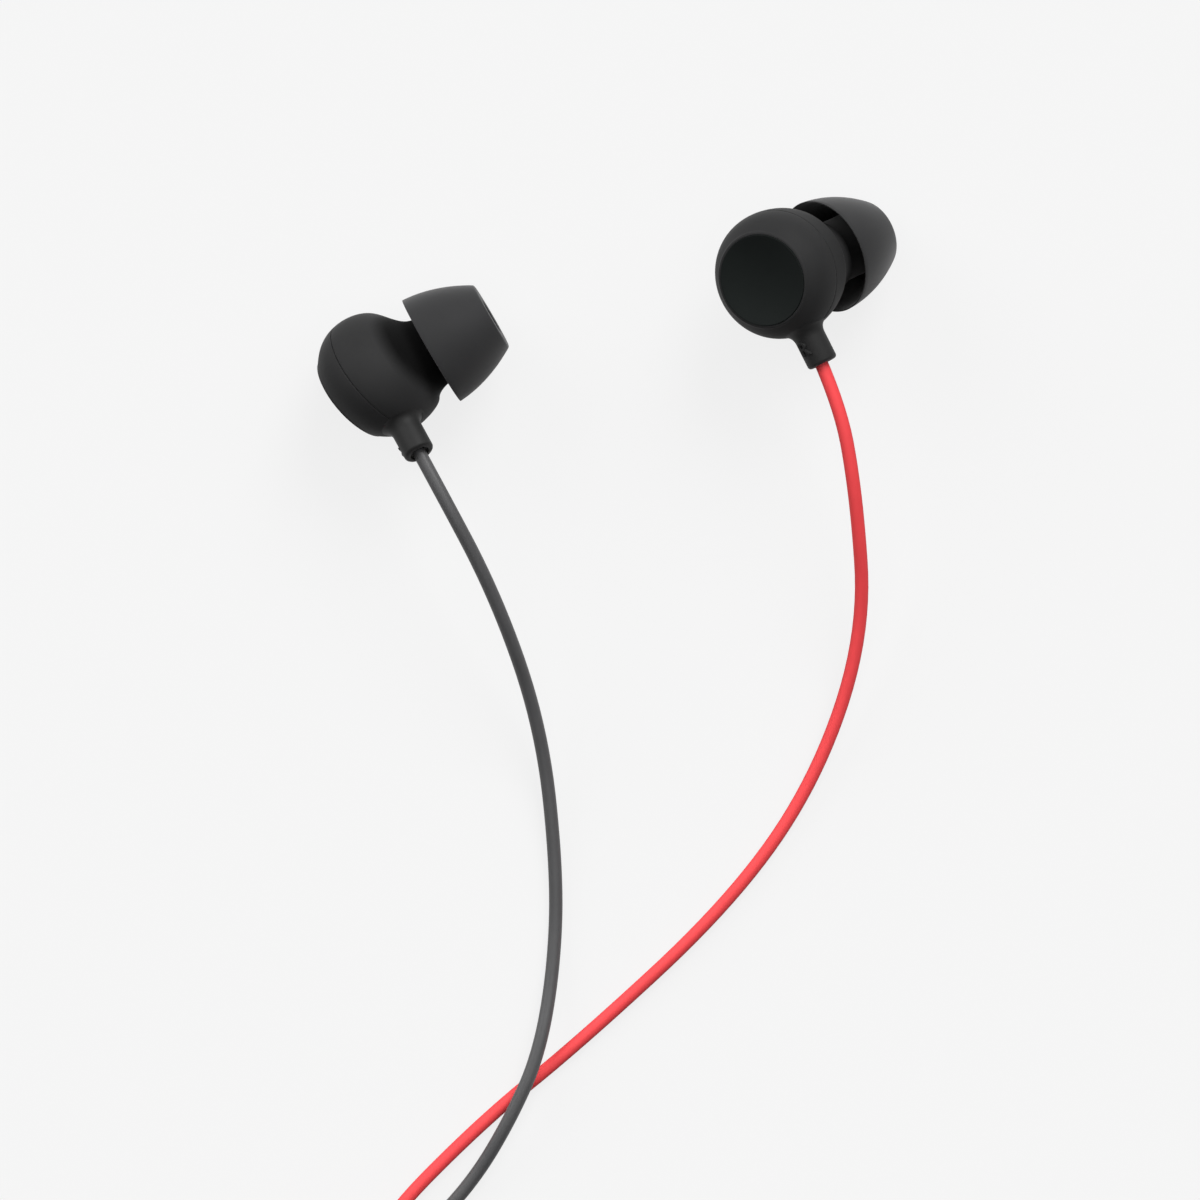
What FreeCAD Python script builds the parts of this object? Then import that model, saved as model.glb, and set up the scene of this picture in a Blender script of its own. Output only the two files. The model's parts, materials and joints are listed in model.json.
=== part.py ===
import FreeCAD, Part
import math
import os

from FreeCAD import Vector

# Wired in-ear earphones: two ear buds, their branch cords, the splitter, the main cord and the plug.
# Units are millimetres. +Z is up, and the earphones lie on the surface z = 0.
# The origin is on that surface, under the middle of the two ear buds.

# Housing of an ear bud. In the bud's own frame +X points forward, to the ear canal, from the widest ring
# of the housing, +Z points away from the stem, and the nozzle leans to +Y.
BODY_RADIUS = 6.86
SHOULDER_DEPTH = 3.20
SHOULDER_RADIUS = 6.25
SHELL_BACK = 4.55
BROW_FORWARD = 2.36
BROW_SIDE = 0.84
BROW_RADIUS = 6.00
BROW_TILT = 6.1
NECK_FORWARD = 4.03
NECK_SIDE = 2.50
NECK_DROP = 0.35
NECK_RADIUS = 4.10
COLLAR_LENGTH = 1.25
COLLAR_RADIUS = 3.75
NOZZLE_LEAN = 21.3

# The seam between the two shells, and the spigot that laps it
SEAM_BACK = 0.80
SEAM_GAP = 0.08
LAP_LENGTH = 0.70
LAP_WALL = 0.70
FRONT_CHAMBER_LENGTH = 0.60
REAR_CAVITY_DEPTH = 3.30

# Dished disc in the back of the housing
DISC_RADIUS = 4.95
DISC_FACE_DEPTH = 4.80
DISC_THICKNESS = 0.90
DISC_DISH = 0.50
DISC_LAND = 0.15
DISC_EDGE_ROUND = 0.10
DISC_GROOVE = 0.06
BACK_LIP = 0.20

# Nozzle
NOZZLE_LENGTH = 4.20
NOZZLE_RADIUS = 2.45
NOZZLE_BORE_RADIUS = 1.75
LIP_HEIGHT = 0.20
LIP_LENGTH = 0.70
MESH_SEAT_DEPTH = 0.30
MESH_SEAT_WIDTH = 0.30
MESH_THICKNESS = 0.15

# Ear tip, measured along the nozzle from the rim of its skirt
SKIRT_RADIUS = 6.17
SKIRT_FORWARD = 0.87
TIP_LENGTH = 7.37
NOSE_RADIUS = 3.75
NOSE_CHAMFER = 0.25
TIP_BULGE = 0.50
SKIRT_WALL = 0.45
SKIRT_CAVITY_DEPTH = 5.40
TIP_CORE_WALL = 0.65
TIP_MOUTH_RADIUS = 1.90

# Stem, the flexible strain relief, measured down from the middle of the housing
STEM_LENGTH = 10.62
STEM_RADIUS = 1.66
STEM_FLARE = 1.30
STEM_RECESS_RADIUS = 1.15
STEM_RECESS_DEPTH = 1.20
STEM_FLANGE_RADIUS = 2.10
STEM_FLANGE_COVER = 0.85
STEM_FLANGE_THICKNESS = 0.50
CORD_STOP_RADIUS = 1.15
CORD_STOP_LENGTH = 0.75
CORD_TAIL = 0.10

# Driver, built up from the ledge that its gasket seals on, as wide as the housing has room for
DRIVER_ROOM = 2.26
DRIVER_RADIUS = BODY_RADIUS - DRIVER_ROOM
DRIVER_LEDGE = 2.50
GASKET_THICKNESS = 0.25
GASKET_WIDTH = 0.55
COVER_THICKNESS = 0.20
COVER_HOLES = 6
COVER_HOLE_RADIUS = 0.45
COVER_HOLE_CIRCLE = 2.20
FRAME_LENGTH = 2.35
FRAME_WALL = 0.30
FILM_SEAT_DEPTH = 0.50
FILM_SEAT_WIDTH = 0.35
FRAME_FLOOR = 0.40
YOKE_ROOM = 1.10
YOKE_RADIUS = DRIVER_RADIUS - YOKE_ROOM
YOKE_WALL = 0.45
YOKE_LENGTH = 1.70
YOKE_FLOOR = 0.45
VENT_RADIUS = 0.50
MAGNET_ROOM = 1.15
MAGNET_RADIUS = YOKE_RADIUS - MAGNET_ROOM
MAGNET_LENGTH = 0.90
POLE_PLATE_OVERHANG = 0.10
POLE_GAP = 0.15
COIL_WALL = 0.30
COIL_LENGTH = 1.50
FILM_THICKNESS = 0.10
DOME_HEIGHT = 0.27
SURROUND_GAP = 0.08
SURROUND_RISE = 0.20
DIAPHRAGM_TRAVEL = 0.15

# Terminal board, vent paper and lead wires behind the driver
BOARD_WIDTH = 4.60
BOARD_HEIGHT = 1.80
BOARD_THICKNESS = 0.30
BOARD_DROP = 2.00
PAD_SIZE = 0.90
PAD_THICKNESS = 0.15
PAD_SPACING = 2.40
VENT_PAPER_RADIUS = 1.00
VENT_PAPER_THICKNESS = 0.12
LEAD_RADIUS = 0.08
LEAD_SPACING = 0.60
LEAD_SLACK = 1.30

# Cords
BRANCH_DIAMETER = 1.45
MAIN_DIAMETER = 2.00
FREE_CORD_SIDES = 8
HANK_CORD_SIDES = 6
CORD_FIT = 0.03
CORNER_REACH = 0.45
STEEP_HEADING = 0.9

# Hanks. A hank is long and narrow, drawn in at its waist, with its loops in two layers.
HANK_LEAN = 6.0
WAIST_ROUND = 12.0
BRANCH_STEP = 1.95
BRANCH_INNER_RADIUS = 4.35
BRANCH_FOLDS = (3, 3)
LEFT_HALF_LENGTH = 15.6
RIGHT_HALF_LENGTH = 13.0
MAIN_STEP = 2.50
MAIN_INNER_RADIUS = 6.00
MAIN_FOLDS = (6, 5)
MAIN_HALF_LENGTH = 20.0
CLIMB_BEND_SHARE = 0.35
NEIGHBOUR_DIAMETERS = 4

# Ties round the waists of the hanks
TIE_WIDTH = 4.00
TIE_WALL = 0.40
TIE_CLEARANCE = 0.05
TIE_CORNER = 0.60

# Splitter, a flattened moulding round the joint of the three cords
SPLITTER_PLACE = (-22.05, -144.50)
SPLITTER_LENGTH = 10.00
SPLITTER_WIDTH = 6.40
SPLITTER_NARROW = 4.20
SPLITTER_HEIGHT = 3.60
SPLITTER_CORNER = 1.20
CORE_LENGTH = 5.00
CORE_WIDTH = 4.40
CORE_HEIGHT = 1.80
BRANCH_SPACING = 2.30

# Plug, a straight three-contact one, laid with its tip towards -X
PLUG_PLACE = (15.50, -176.00)
RELIEF_LENGTH = 9.00
RELIEF_THIN_RADIUS = 1.45
RELIEF_ROOT_RADIUS = 2.20
RELIEF_GROOVES = 4
RELIEF_GROOVE_WIDTH = 0.60
RELIEF_CORE_RADIUS = 1.30
RELIEF_CORD_DEPTH = 4.00
RELIEF_SPIGOT_LENGTH = 2.00
RELIEF_SPIGOT_RADIUS = 1.50
GRIP_LENGTH = 16.00
GRIP_RADIUS = 3.00
GRIP_END_RADIUS = 2.75
GRIP_CHAMFER = 0.50
PIN_LENGTH = 14.00
PIN_RADIUS = 1.75
INSULATOR_WIDTH = 0.70
TIP_CONTACT_LENGTH = 3.50
RING_CONTACT_LENGTH = 2.40
TIP_BALL = ((0.70, 1.15), (1.60, 1.60), (3.20, 0.45))
CORE_ROD_RADIUS = 0.80
CORE_HEAD_RADIUS = 2.10
CORE_HEAD_LENGTH = 5.00
TIP_SOCKET_DEPTH = 2.20

# Clearances
GLUE_GAP = 0.01
DRIVER_CLEARANCE = 0.05
LAP_CLEARANCE = 0.05
TIP_CLEARANCE = 0.05
STEM_CLEARANCE = 0.02

# Where each bud lies: its middle over the surface, the way it faces and the way its stem points
LEFT_BUD = {
    "middle": (-23.76, -4.51),
    "forward": (0.709, 0.605, 0.362),
    "stem": (0.427, -0.777, 0.462),
    "mirrored": False,
}
RIGHT_BUD = {
    "middle": (18.46, 5.89),
    "forward": (0.439, 0.182, -0.880),
    "stem": (0.452, -0.891, 0.030),
    "mirrored": True,
}

# Routes of the free cords. The first two points are on the stem's axis, and the last two lead into a hank.
LEFT_ROUTE = [
    (-22.34, -8.62, 8.85),
    (-18.35, -15.87, 13.17),
    (-11.70, -28.40, 9.60),
    (-6.90, -42.40, 2.60),
    (-5.30, -57.50, 0.73),
    (-5.60, -67.60, 0.73),
    (-7.20, -77.00, 5.30),
    (-10.40, -84.10, 5.30),
    (-14.20, -90.40, 1.60),
    (-19.20, -95.80, 1.08),
    (-18.50, -103.00, 1.08),
]
RIGHT_ROUTE = [
    (20.20, 1.58, 11.27),
    (24.38, -6.76, 11.63),
    (26.40, -17.60, 9.90),
    (27.40, -32.20, 3.60),
    (22.20, -47.90, 0.73),
    (13.00, -61.00, 0.73),
    (-2.90, -75.70, 0.73),
    (-13.30, -84.10, 0.73),
    (-24.90, -95.90, 1.08),
    (-25.60, -103.00, 1.08),
]

# Routes between the branch hanks and the splitter, from the splitter to the main hank and on to the plug.
# Where a route leaves a hank, its first stretch is as long as the first value says, straight on.
LEFT_TAIL = (3.5, [(-20.90, -141.50, 1.80), (-20.90, -147.00, 1.80)])
RIGHT_TAIL = (5.0, [(-23.20, -140.00, 1.80), (-23.20, -147.00, 1.80)])
MAIN_ROUTE = [
    (-22.05, -152.00, 1.80),
    (-22.05, -161.30, 1.80),
    (-15.60, -168.10, 1.00),
    (-6.00, -168.60, 1.00),
    (1.15, -162.50, 1.32),
    (2.10, -153.55, 1.32),
]
MAIN_TAIL = (5.3, [
    (27.20, -165.00, 3.60),
    (24.40, -172.10, 3.20),
    (18.50, -176.00, 3.00),
    (11.50, -176.00, 3.00),
])


def flat(point):
    """A point given by its distance along an axis and its radius."""
    return Vector(point[0], point[1], 0)


def outline(start, *steps):
    """A face inside a closed outline. A step is a point, or a pair: a point on an arc, and the arc's end."""
    edges = []
    here = start
    for step in steps + (start,):
        if isinstance(step[0], tuple):
            middle, there = step
            edges.append(Part.Arc(flat(here), flat(middle), flat(there)).toShape())
        elif step != here:
            there = step
            edges.append(Part.LineSegment(flat(here), flat(there)).toShape())
        here = there
    return Part.Face(Part.Wire(edges))


def turned(start, *steps):
    """An outline turned round the X axis."""
    return outline(start, *steps).revolve(Vector(0, 0, 0), Vector(1, 0, 0), 360)


def dome_middle(edge, crown, radius):
    """A point halfway along a dome's arc, between its edge and its crown on the axis."""
    height = crown - edge
    sphere = (radius**2 + height**2) / (2 * height)
    half = math.asin(radius / sphere) / 2
    return crown - sphere * (1 - math.cos(half)), sphere * math.sin(half)


def rod(radius, start, end):
    """A solid cylinder along X."""
    return Part.makeCylinder(radius, end - start, Vector(start, 0, 0), Vector(1, 0, 0))


def tube(outer, inner, start, end):
    """A hollow cylinder along X."""
    return rod(outer, start, end).cut(rod(inner, start, end))


def block(low, high):
    """A box between two corners."""
    return Part.makeBox(high[0] - low[0], high[1] - low[1], high[2] - low[2], Vector(*low))


def along_nozzle(shape, forward=0.0):
    """A shape made along X, moved onto the nozzle's axis, from the neck."""
    turn = FreeCAD.Rotation(Vector(0, 0, 1), NOZZLE_LEAN)
    base = Vector(NECK_FORWARD, NECK_SIDE, -NECK_DROP) + turn.multVec(Vector(forward, 0, 0))
    moved = shape.copy()
    moved.Placement = FreeCAD.Placement(base, turn).multiply(shape.Placement)
    return moved


def along_stem(shape):
    """A shape made along X, moved onto the stem's axis, from the middle of the housing downwards."""
    moved = shape.copy()
    turn = FreeCAD.Rotation(Vector(0, 1, 0), 90)
    moved.Placement = FreeCAD.Placement(Vector(-SEAM_BACK, 0, 0), turn).multiply(shape.Placement)
    return moved


def ring(forward, side, drop, tilt, radius):
    """A circle whose plane faces forward, turned by tilt towards the side that the nozzle leans to."""
    wire = Part.Wire(Part.Circle(Vector(0, 0, 0), Vector(1, 0, 0), radius).toShape())
    turn = FreeCAD.Rotation(Vector(0, 0, 1), tilt)
    wire.Placement = FreeCAD.Placement(Vector(forward, side, -drop), turn)
    return wire


def housing_form():
    """The outer form of both shells: a rounded body that runs into the leaning neck."""
    lean = math.radians(NOZZLE_LEAN)
    back_radius = DISC_RADIUS + DISC_GROOVE + BACK_LIP
    collar_forward = NECK_FORWARD + COLLAR_LENGTH * math.cos(lean)
    collar_side = NECK_SIDE + COLLAR_LENGTH * math.sin(lean)
    rings = [
        ring(-SHELL_BACK, 0, 0, 0, back_radius),
        ring(-SHOULDER_DEPTH, 0, 0, 0, SHOULDER_RADIUS),
        ring(0, 0, 0, 0, BODY_RADIUS),
        ring(BROW_FORWARD, BROW_SIDE, 0, BROW_TILT, BROW_RADIUS),
        ring(NECK_FORWARD, NECK_SIDE, NECK_DROP, NOZZLE_LEAN, NECK_RADIUS),
        ring(collar_forward, collar_side, NECK_DROP, NOZZLE_LEAN, COLLAR_RADIUS),
    ]
    return Part.makeLoft(rings, True, False)


POCKET_RADIUS = DRIVER_RADIUS + DRIVER_CLEARANCE
LAP_RADIUS = POCKET_RADIUS + LAP_WALL
COVER_RADIUS = DRIVER_RADIUS - 2 * DRIVER_CLEARANCE
DISC_FLOOR = DISC_FACE_DEPTH - DISC_THICKNESS
STEM_FLANGE_SEAT = BODY_RADIUS - STEM_FLANGE_COVER
STEM_BORE_RADIUS = BRANCH_DIAMETER / 2 + CORD_FIT
FAR = 2 * (BODY_RADIUS + STEM_LENGTH)


def stem_passage():
    """What the stem's waist and flange take out of the shells."""
    waist = rod(STEM_RADIUS + STEM_CLEARANCE, 0, FAR)
    flange = rod(STEM_FLANGE_RADIUS + DRIVER_CLEARANCE, 0, STEM_FLANGE_SEAT)
    return along_stem(waist.fuse(flange))


def rear_shell(form):
    """Back half: the disc's seat behind, the cavity and the lapping spigot in front."""
    rim = -SEAM_BACK - SEAM_GAP
    shell = form.common(rod(FAR, -FAR, rim))
    spigot = rod(LAP_RADIUS, rim, -SEAM_BACK + LAP_LENGTH)
    shell = shell.fuse(spigot).cut(rod(POCKET_RADIUS, -REAR_CAVITY_DEPTH, FAR))
    shell = shell.cut(rod(DISC_RADIUS + DISC_GROOVE, -FAR, -DISC_FLOOR))
    return shell.cut(stem_passage())


def front_shell(form):
    """Front half: the driver's pocket, the chamber before it and the nozzle."""
    shell = form.common(rod(FAR, -SEAM_BACK, FAR))
    lip_start = NOZZLE_LENGTH - LIP_LENGTH
    lip_radius = NOZZLE_RADIUS + LIP_HEIGHT
    nozzle = turned(
        (-COLLAR_LENGTH, 0),
        (-COLLAR_LENGTH, NOZZLE_RADIUS),
        (lip_start, NOZZLE_RADIUS),
        (lip_start, lip_radius),
        (NOZZLE_LENGTH - LIP_HEIGHT, lip_radius),
        (NOZZLE_LENGTH, NOZZLE_RADIUS),
        (NOZZLE_LENGTH, 0),
    )
    shell = shell.fuse(along_nozzle(nozzle, COLLAR_LENGTH))
    chamber_radius = COVER_RADIUS - GASKET_WIDTH
    shell = shell.cut(rod(LAP_RADIUS + LAP_CLEARANCE, -FAR, -SEAM_BACK + LAP_LENGTH))
    shell = shell.cut(rod(POCKET_RADIUS, -FAR, DRIVER_LEDGE))
    shell = shell.cut(rod(chamber_radius, 0, DRIVER_LEDGE + FRONT_CHAMBER_LENGTH))
    duct = rod(NOZZLE_BORE_RADIUS, -COLLAR_LENGTH, COLLAR_LENGTH + FAR)
    mesh_seat = rod(NOZZLE_BORE_RADIUS + MESH_SEAT_WIDTH, NOZZLE_LENGTH - MESH_SEAT_DEPTH, FAR)
    shell = shell.cut(along_nozzle(duct)).cut(along_nozzle(mesh_seat, COLLAR_LENGTH))
    return shell.cut(stem_passage())


def nozzle_mesh():
    """Acoustic mesh on the ledge in the nozzle's mouth."""
    start = NOZZLE_LENGTH - MESH_SEAT_DEPTH
    disc = rod(NOZZLE_BORE_RADIUS + MESH_SEAT_WIDTH - GLUE_GAP, start, start + MESH_THICKNESS)
    return along_nozzle(disc, COLLAR_LENGTH)


def rear_disc():
    """Disc glued in the back, with a narrow flat rim round its dish."""
    face = -DISC_FACE_DEPTH
    dish_radius = DISC_RADIUS - DISC_EDGE_ROUND - DISC_LAND
    return turned(
        (-DISC_FLOOR, 0),
        (-DISC_FLOOR, DISC_RADIUS),
        (face + DISC_EDGE_ROUND, DISC_RADIUS),
        (face, DISC_RADIUS - DISC_EDGE_ROUND),
        (face, dish_radius),
        (dome_middle(face, face + DISC_DISH, dish_radius), (face + DISC_DISH, 0)),
    )


def tip_radius(distance):
    """Outer radius of the ear tip at a distance from its skirt's rim."""
    share = distance / TIP_LENGTH
    return SKIRT_RADIUS + (NOSE_RADIUS - SKIRT_RADIUS) * share + 4 * TIP_BULGE * share * (1 - share)


def ear_tip():
    """Moulded tip: a domed skirt round a core sleeve that grips the nozzle."""
    bore = NOZZLE_RADIUS + LIP_HEIGHT + TIP_CLEARANCE
    core = bore + TIP_CORE_WALL
    collar = COLLAR_LENGTH - SKIRT_FORWARD
    foot = collar + TIP_CLEARANCE
    stop = collar + NOZZLE_LENGTH + TIP_CLEARANCE
    nose_start = TIP_LENGTH - NOSE_CHAMFER
    half = SKIRT_CAVITY_DEPTH / 2
    tip = turned(
        (0, tip_radius(0)),
        ((nose_start / 2, tip_radius(nose_start / 2)), (nose_start, NOSE_RADIUS)),
        (TIP_LENGTH, NOSE_RADIUS - NOSE_CHAMFER),
        (TIP_LENGTH, TIP_MOUTH_RADIUS),
        (stop, TIP_MOUTH_RADIUS),
        (stop, bore),
        (foot, bore),
        (foot, core),
        (SKIRT_CAVITY_DEPTH, core),
        (SKIRT_CAVITY_DEPTH, tip_radius(SKIRT_CAVITY_DEPTH) - SKIRT_WALL),
        ((half, tip_radius(half) - SKIRT_WALL), (0, tip_radius(0) - SKIRT_WALL)),
    )
    return along_nozzle(tip, SKIRT_FORWARD)


def stem(form):
    """Strain relief: a flared root on the housing, a waist through it and a flange inside."""
    flare_radius = STEM_RADIUS + STEM_FLARE
    flare_reach = BODY_RADIUS + STEM_FLARE
    flare_start = math.sqrt(flare_reach**2 - flare_radius**2)
    root = (flare_start * BODY_RADIUS / flare_reach, flare_radius * BODY_RADIUS / flare_reach)
    bend = math.atan2(flare_start - root[0], flare_radius - root[1]) / 2
    middle = (flare_start - STEM_FLARE * math.sin(bend), flare_radius - STEM_FLARE * math.cos(bend))
    outside = turned(
        (0, 0),
        (0, root[1]),
        root,
        (middle, (flare_start, STEM_RADIUS)),
        (STEM_LENGTH, STEM_RADIUS),
        (STEM_LENGTH, 0),
    )
    flange_top = STEM_FLANGE_SEAT - STEM_FLANGE_THICKNESS
    waist = rod(STEM_RADIUS, flange_top, flare_start)
    flange = rod(STEM_FLANGE_RADIUS, flange_top, STEM_FLANGE_SEAT)
    relief = along_stem(outside).cut(form).fuse(along_stem(waist.fuse(flange)))
    bore = rod(STEM_BORE_RADIUS, 0, FAR).fuse(rod(STEM_RECESS_RADIUS, STEM_LENGTH - STEM_RECESS_DEPTH, FAR))
    return relief.cut(along_stem(bore))


CORD_STOP_END = STEM_FLANGE_SEAT - STEM_FLANGE_THICKNESS
CORD_STOP_START = CORD_STOP_END - CORD_STOP_LENGTH
CORD_START = CORD_STOP_START - CORD_TAIL


def cord_stop():
    """Crimped collar that holds the cord behind the stem's flange."""
    return along_stem(tube(CORD_STOP_RADIUS, STEM_BORE_RADIUS, CORD_STOP_START, CORD_STOP_END))


# Places along the driver's axis, from the ledge backwards
COVER_FRONT = DRIVER_LEDGE - GASKET_THICKNESS
FRAME_FRONT = COVER_FRONT - COVER_THICKNESS
FRAME_BACK = FRAME_FRONT - FRAME_LENGTH
FILM_SEAT = FRAME_FRONT - FILM_SEAT_DEPTH
FILM_SEAT_RADIUS = DRIVER_RADIUS - FRAME_WALL
POLE_PLATE_RADIUS = MAGNET_RADIUS + POLE_PLATE_OVERHANG
COIL_INNER = POLE_PLATE_RADIUS + POLE_GAP
COIL_OUTER = COIL_INNER + COIL_WALL
COIL_FRONT = FILM_SEAT - FILM_THICKNESS
YOKE_FRONT = FRAME_BACK + YOKE_LENGTH - YOKE_FLOOR - DIAPHRAGM_TRAVEL
YOKE_BACK = YOKE_FRONT - YOKE_LENGTH
MAGNET_BACK = YOKE_BACK + YOKE_FLOOR
PLATE_BACK = MAGNET_BACK + MAGNET_LENGTH


def gasket():
    """Soft ring between the driver and the ledge in the front shell."""
    return tube(COVER_RADIUS, COVER_RADIUS - GASKET_WIDTH, COVER_FRONT, DRIVER_LEDGE)


def driver_cover():
    """Perforated plate over the diaphragm."""
    cover = rod(COVER_RADIUS, FRAME_FRONT, COVER_FRONT)
    for number in range(COVER_HOLES):
        turn = 2 * math.pi * number / COVER_HOLES
        hole = rod(COVER_HOLE_RADIUS, FRAME_FRONT, COVER_FRONT)
        hole.translate(Vector(0, COVER_HOLE_CIRCLE * math.cos(turn), COVER_HOLE_CIRCLE * math.sin(turn)))
        cover = cover.cut(hole)
    return cover


def driver_frame():
    """Basket: a wall with the film's seat in front and a floor that holds the yoke."""
    inner = FILM_SEAT_RADIUS - FILM_SEAT_WIDTH
    return turned(
        (FRAME_BACK, YOKE_RADIUS + GLUE_GAP),
        (FRAME_BACK, DRIVER_RADIUS),
        (FRAME_FRONT, DRIVER_RADIUS),
        (FRAME_FRONT, FILM_SEAT_RADIUS),
        (FILM_SEAT, FILM_SEAT_RADIUS),
        (FILM_SEAT, inner),
        (FRAME_BACK + FRAME_FLOOR, inner),
        (FRAME_BACK + FRAME_FLOOR, YOKE_RADIUS + GLUE_GAP),
    )


def yoke():
    """Steel cup of the motor, vented through its floor."""
    cup = rod(YOKE_RADIUS, YOKE_BACK, YOKE_FRONT)
    cup = cup.cut(rod(YOKE_RADIUS - YOKE_WALL, MAGNET_BACK, YOKE_FRONT))
    return cup.cut(rod(VENT_RADIUS, YOKE_BACK, MAGNET_BACK))


def magnet():
    """Disc magnet on the yoke's floor."""
    return rod(MAGNET_RADIUS, MAGNET_BACK, PLATE_BACK)


def pole_plate():
    """Steel plate on the magnet, level with the yoke's rim."""
    return rod(POLE_PLATE_RADIUS, PLATE_BACK, YOKE_FRONT)


def voice_coil():
    """Winding that hangs from the diaphragm into the motor's gap."""
    return tube(COIL_OUTER, COIL_INNER, COIL_FRONT - COIL_LENGTH, COIL_FRONT)


def diaphragm():
    """Domed film with a flat rim on the voice coil."""
    film_front = COIL_FRONT + FILM_THICKNESS
    crown = COIL_FRONT + DOME_HEIGHT
    front_crown = crown + FILM_THICKNESS
    return turned(
        (COIL_FRONT, COIL_OUTER),
        (COIL_FRONT, COIL_INNER),
        (dome_middle(COIL_FRONT, crown, COIL_INNER), (crown, 0)),
        (front_crown, 0),
        (dome_middle(film_front, front_crown, COIL_INNER), (film_front, COIL_INNER)),
        (film_front, COIL_OUTER),
    )


def surround():
    """Flexible ring from the frame's seat to just outside the dome's rim."""
    inner = COIL_OUTER + SURROUND_GAP
    seat = FILM_SEAT_RADIUS - FILM_SEAT_WIDTH
    crest = (inner + seat) / 2
    outer = FILM_SEAT_RADIUS - GLUE_GAP
    front = FILM_SEAT + FILM_THICKNESS
    return turned(
        (COIL_FRONT, inner),
        (FILM_SEAT + SURROUND_RISE - FILM_THICKNESS, crest),
        (FILM_SEAT, seat),
        (FILM_SEAT, outer),
        (front, outer),
        (front, seat),
        (FILM_SEAT + SURROUND_RISE, crest),
        (FILM_SEAT, inner),
    )


def terminal_board():
    """Board glued to the yoke's back, with two solder pads."""
    face = YOKE_BACK - BOARD_THICKNESS
    low = (face, -BOARD_WIDTH / 2, -BOARD_DROP - BOARD_HEIGHT / 2)
    high = (YOKE_BACK, BOARD_WIDTH / 2, -BOARD_DROP + BOARD_HEIGHT / 2)
    solids = [block(low, high)]
    for side in (-1, 1):
        middle = side * PAD_SPACING / 2
        pad_low = (face - PAD_THICKNESS, middle - PAD_SIZE / 2, -BOARD_DROP - PAD_SIZE / 2)
        pad_high = (face, middle + PAD_SIZE / 2, -BOARD_DROP + PAD_SIZE / 2)
        solids.append(block(pad_low, pad_high))
    return Part.makeCompound(solids)


def damping_pad():
    """Vent paper over the hole in the yoke's floor."""
    return rod(VENT_PAPER_RADIUS, YOKE_BACK - VENT_PAPER_THICKNESS, YOKE_BACK)


def lead_wires():
    """Two thin slack wires from the cord's end to the solder pads."""
    pad_face = YOKE_BACK - BOARD_THICKNESS - PAD_THICKNESS
    bowed = pad_face - LEAD_SLACK
    wires = []
    for side in (-1, 1):
        narrow = side * LEAD_SPACING / 2
        wide = side * PAD_SPACING / 2
        points = [
            (-SEAM_BACK, narrow, -CORD_START),
            (-SEAM_BACK, narrow, -CORD_START + LEAD_SLACK / 2),
            (bowed, (narrow + 2 * wide) / 3, (-CORD_START + LEAD_SLACK / 2 - BOARD_DROP) / 2),
            (bowed, wide, -BOARD_DROP),
            (pad_face, wide, -BOARD_DROP),
        ]
        wires.append(cord_tube(points, 2 * LEAD_RADIUS, HANK_CORD_SIDES, "lead wire"))
    return Part.makeCompound(wires)


def section(start, direction, diameter, sides):
    """A cord's many-sided cross-section, with a flat side level."""
    direction = Vector(direction).normalize()
    upright = Vector(0, 0, 1) if abs(direction.z) < STEEP_HEADING else Vector(1, 0, 0)
    level = direction.cross(upright).normalize()
    rise = level.cross(direction).normalize()
    corners = []
    for number in range(sides + 1):
        turn = math.pi * (2 * (number % sides) + 1) / sides
        corners.append(start + (level * math.sin(turn) + rise * math.cos(turn)) * (diameter / 2))
    return Part.makePolygon(corners)


def sweep(edges, start, direction, diameter, sides, name):
    """A solid tube along lines and arcs, with its volume set against its length."""
    path = Part.Wire(edges)
    solid = path.makePipeShell([section(start, direction, diameter, sides)], True, False)
    area = sides / 2 * (diameter / 2) ** 2 * math.sin(2 * math.pi / sides)
    share = solid.Volume / area / path.Length
    print(f"{name}: {path.Length:.1f} mm long, volume {share:.4f} of section times length")
    return solid


def rounded(points, radii=None):
    """Straight runs between points, joined by tangent arcs, and the radii of those arcs."""
    edges = []
    used = []
    here = points[0]
    for place, (before, corner, after) in enumerate(zip(points, points[1:], points[2:])):
        back = before - corner
        ahead = after - corner
        half_turn = (math.pi - back.getAngle(ahead)) / 2
        radius = CORNER_REACH * min(back.Length, ahead.Length) / math.tan(half_turn)
        if radii and radii[place]:
            radius = radii[place]
        back.normalize()
        ahead.normalize()
        reach = radius * math.tan(half_turn)
        first = corner + back * reach
        last = corner + ahead * reach
        middle = corner + (back + ahead).normalize() * (radius / math.cos(half_turn) - radius)
        edges.append(Part.LineSegment(here, first).toShape())
        edges.append(Part.Arc(first, middle, last).toShape())
        used.append(radius)
        here = last
    edges.append(Part.LineSegment(here, points[-1]).toShape())
    return edges, used


def cord_tube(points, diameter, sides, name):
    """A free cord along its route."""
    points = [Vector(point) for point in points]
    edges, radii = rounded(points)
    print(f"{name}: bend radii in diameters " + " ".join(f"{radius / diameter:.1f}" for radius in radii))
    return sweep(edges, points[0], points[1] - points[0], diameter, sides, name)


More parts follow.
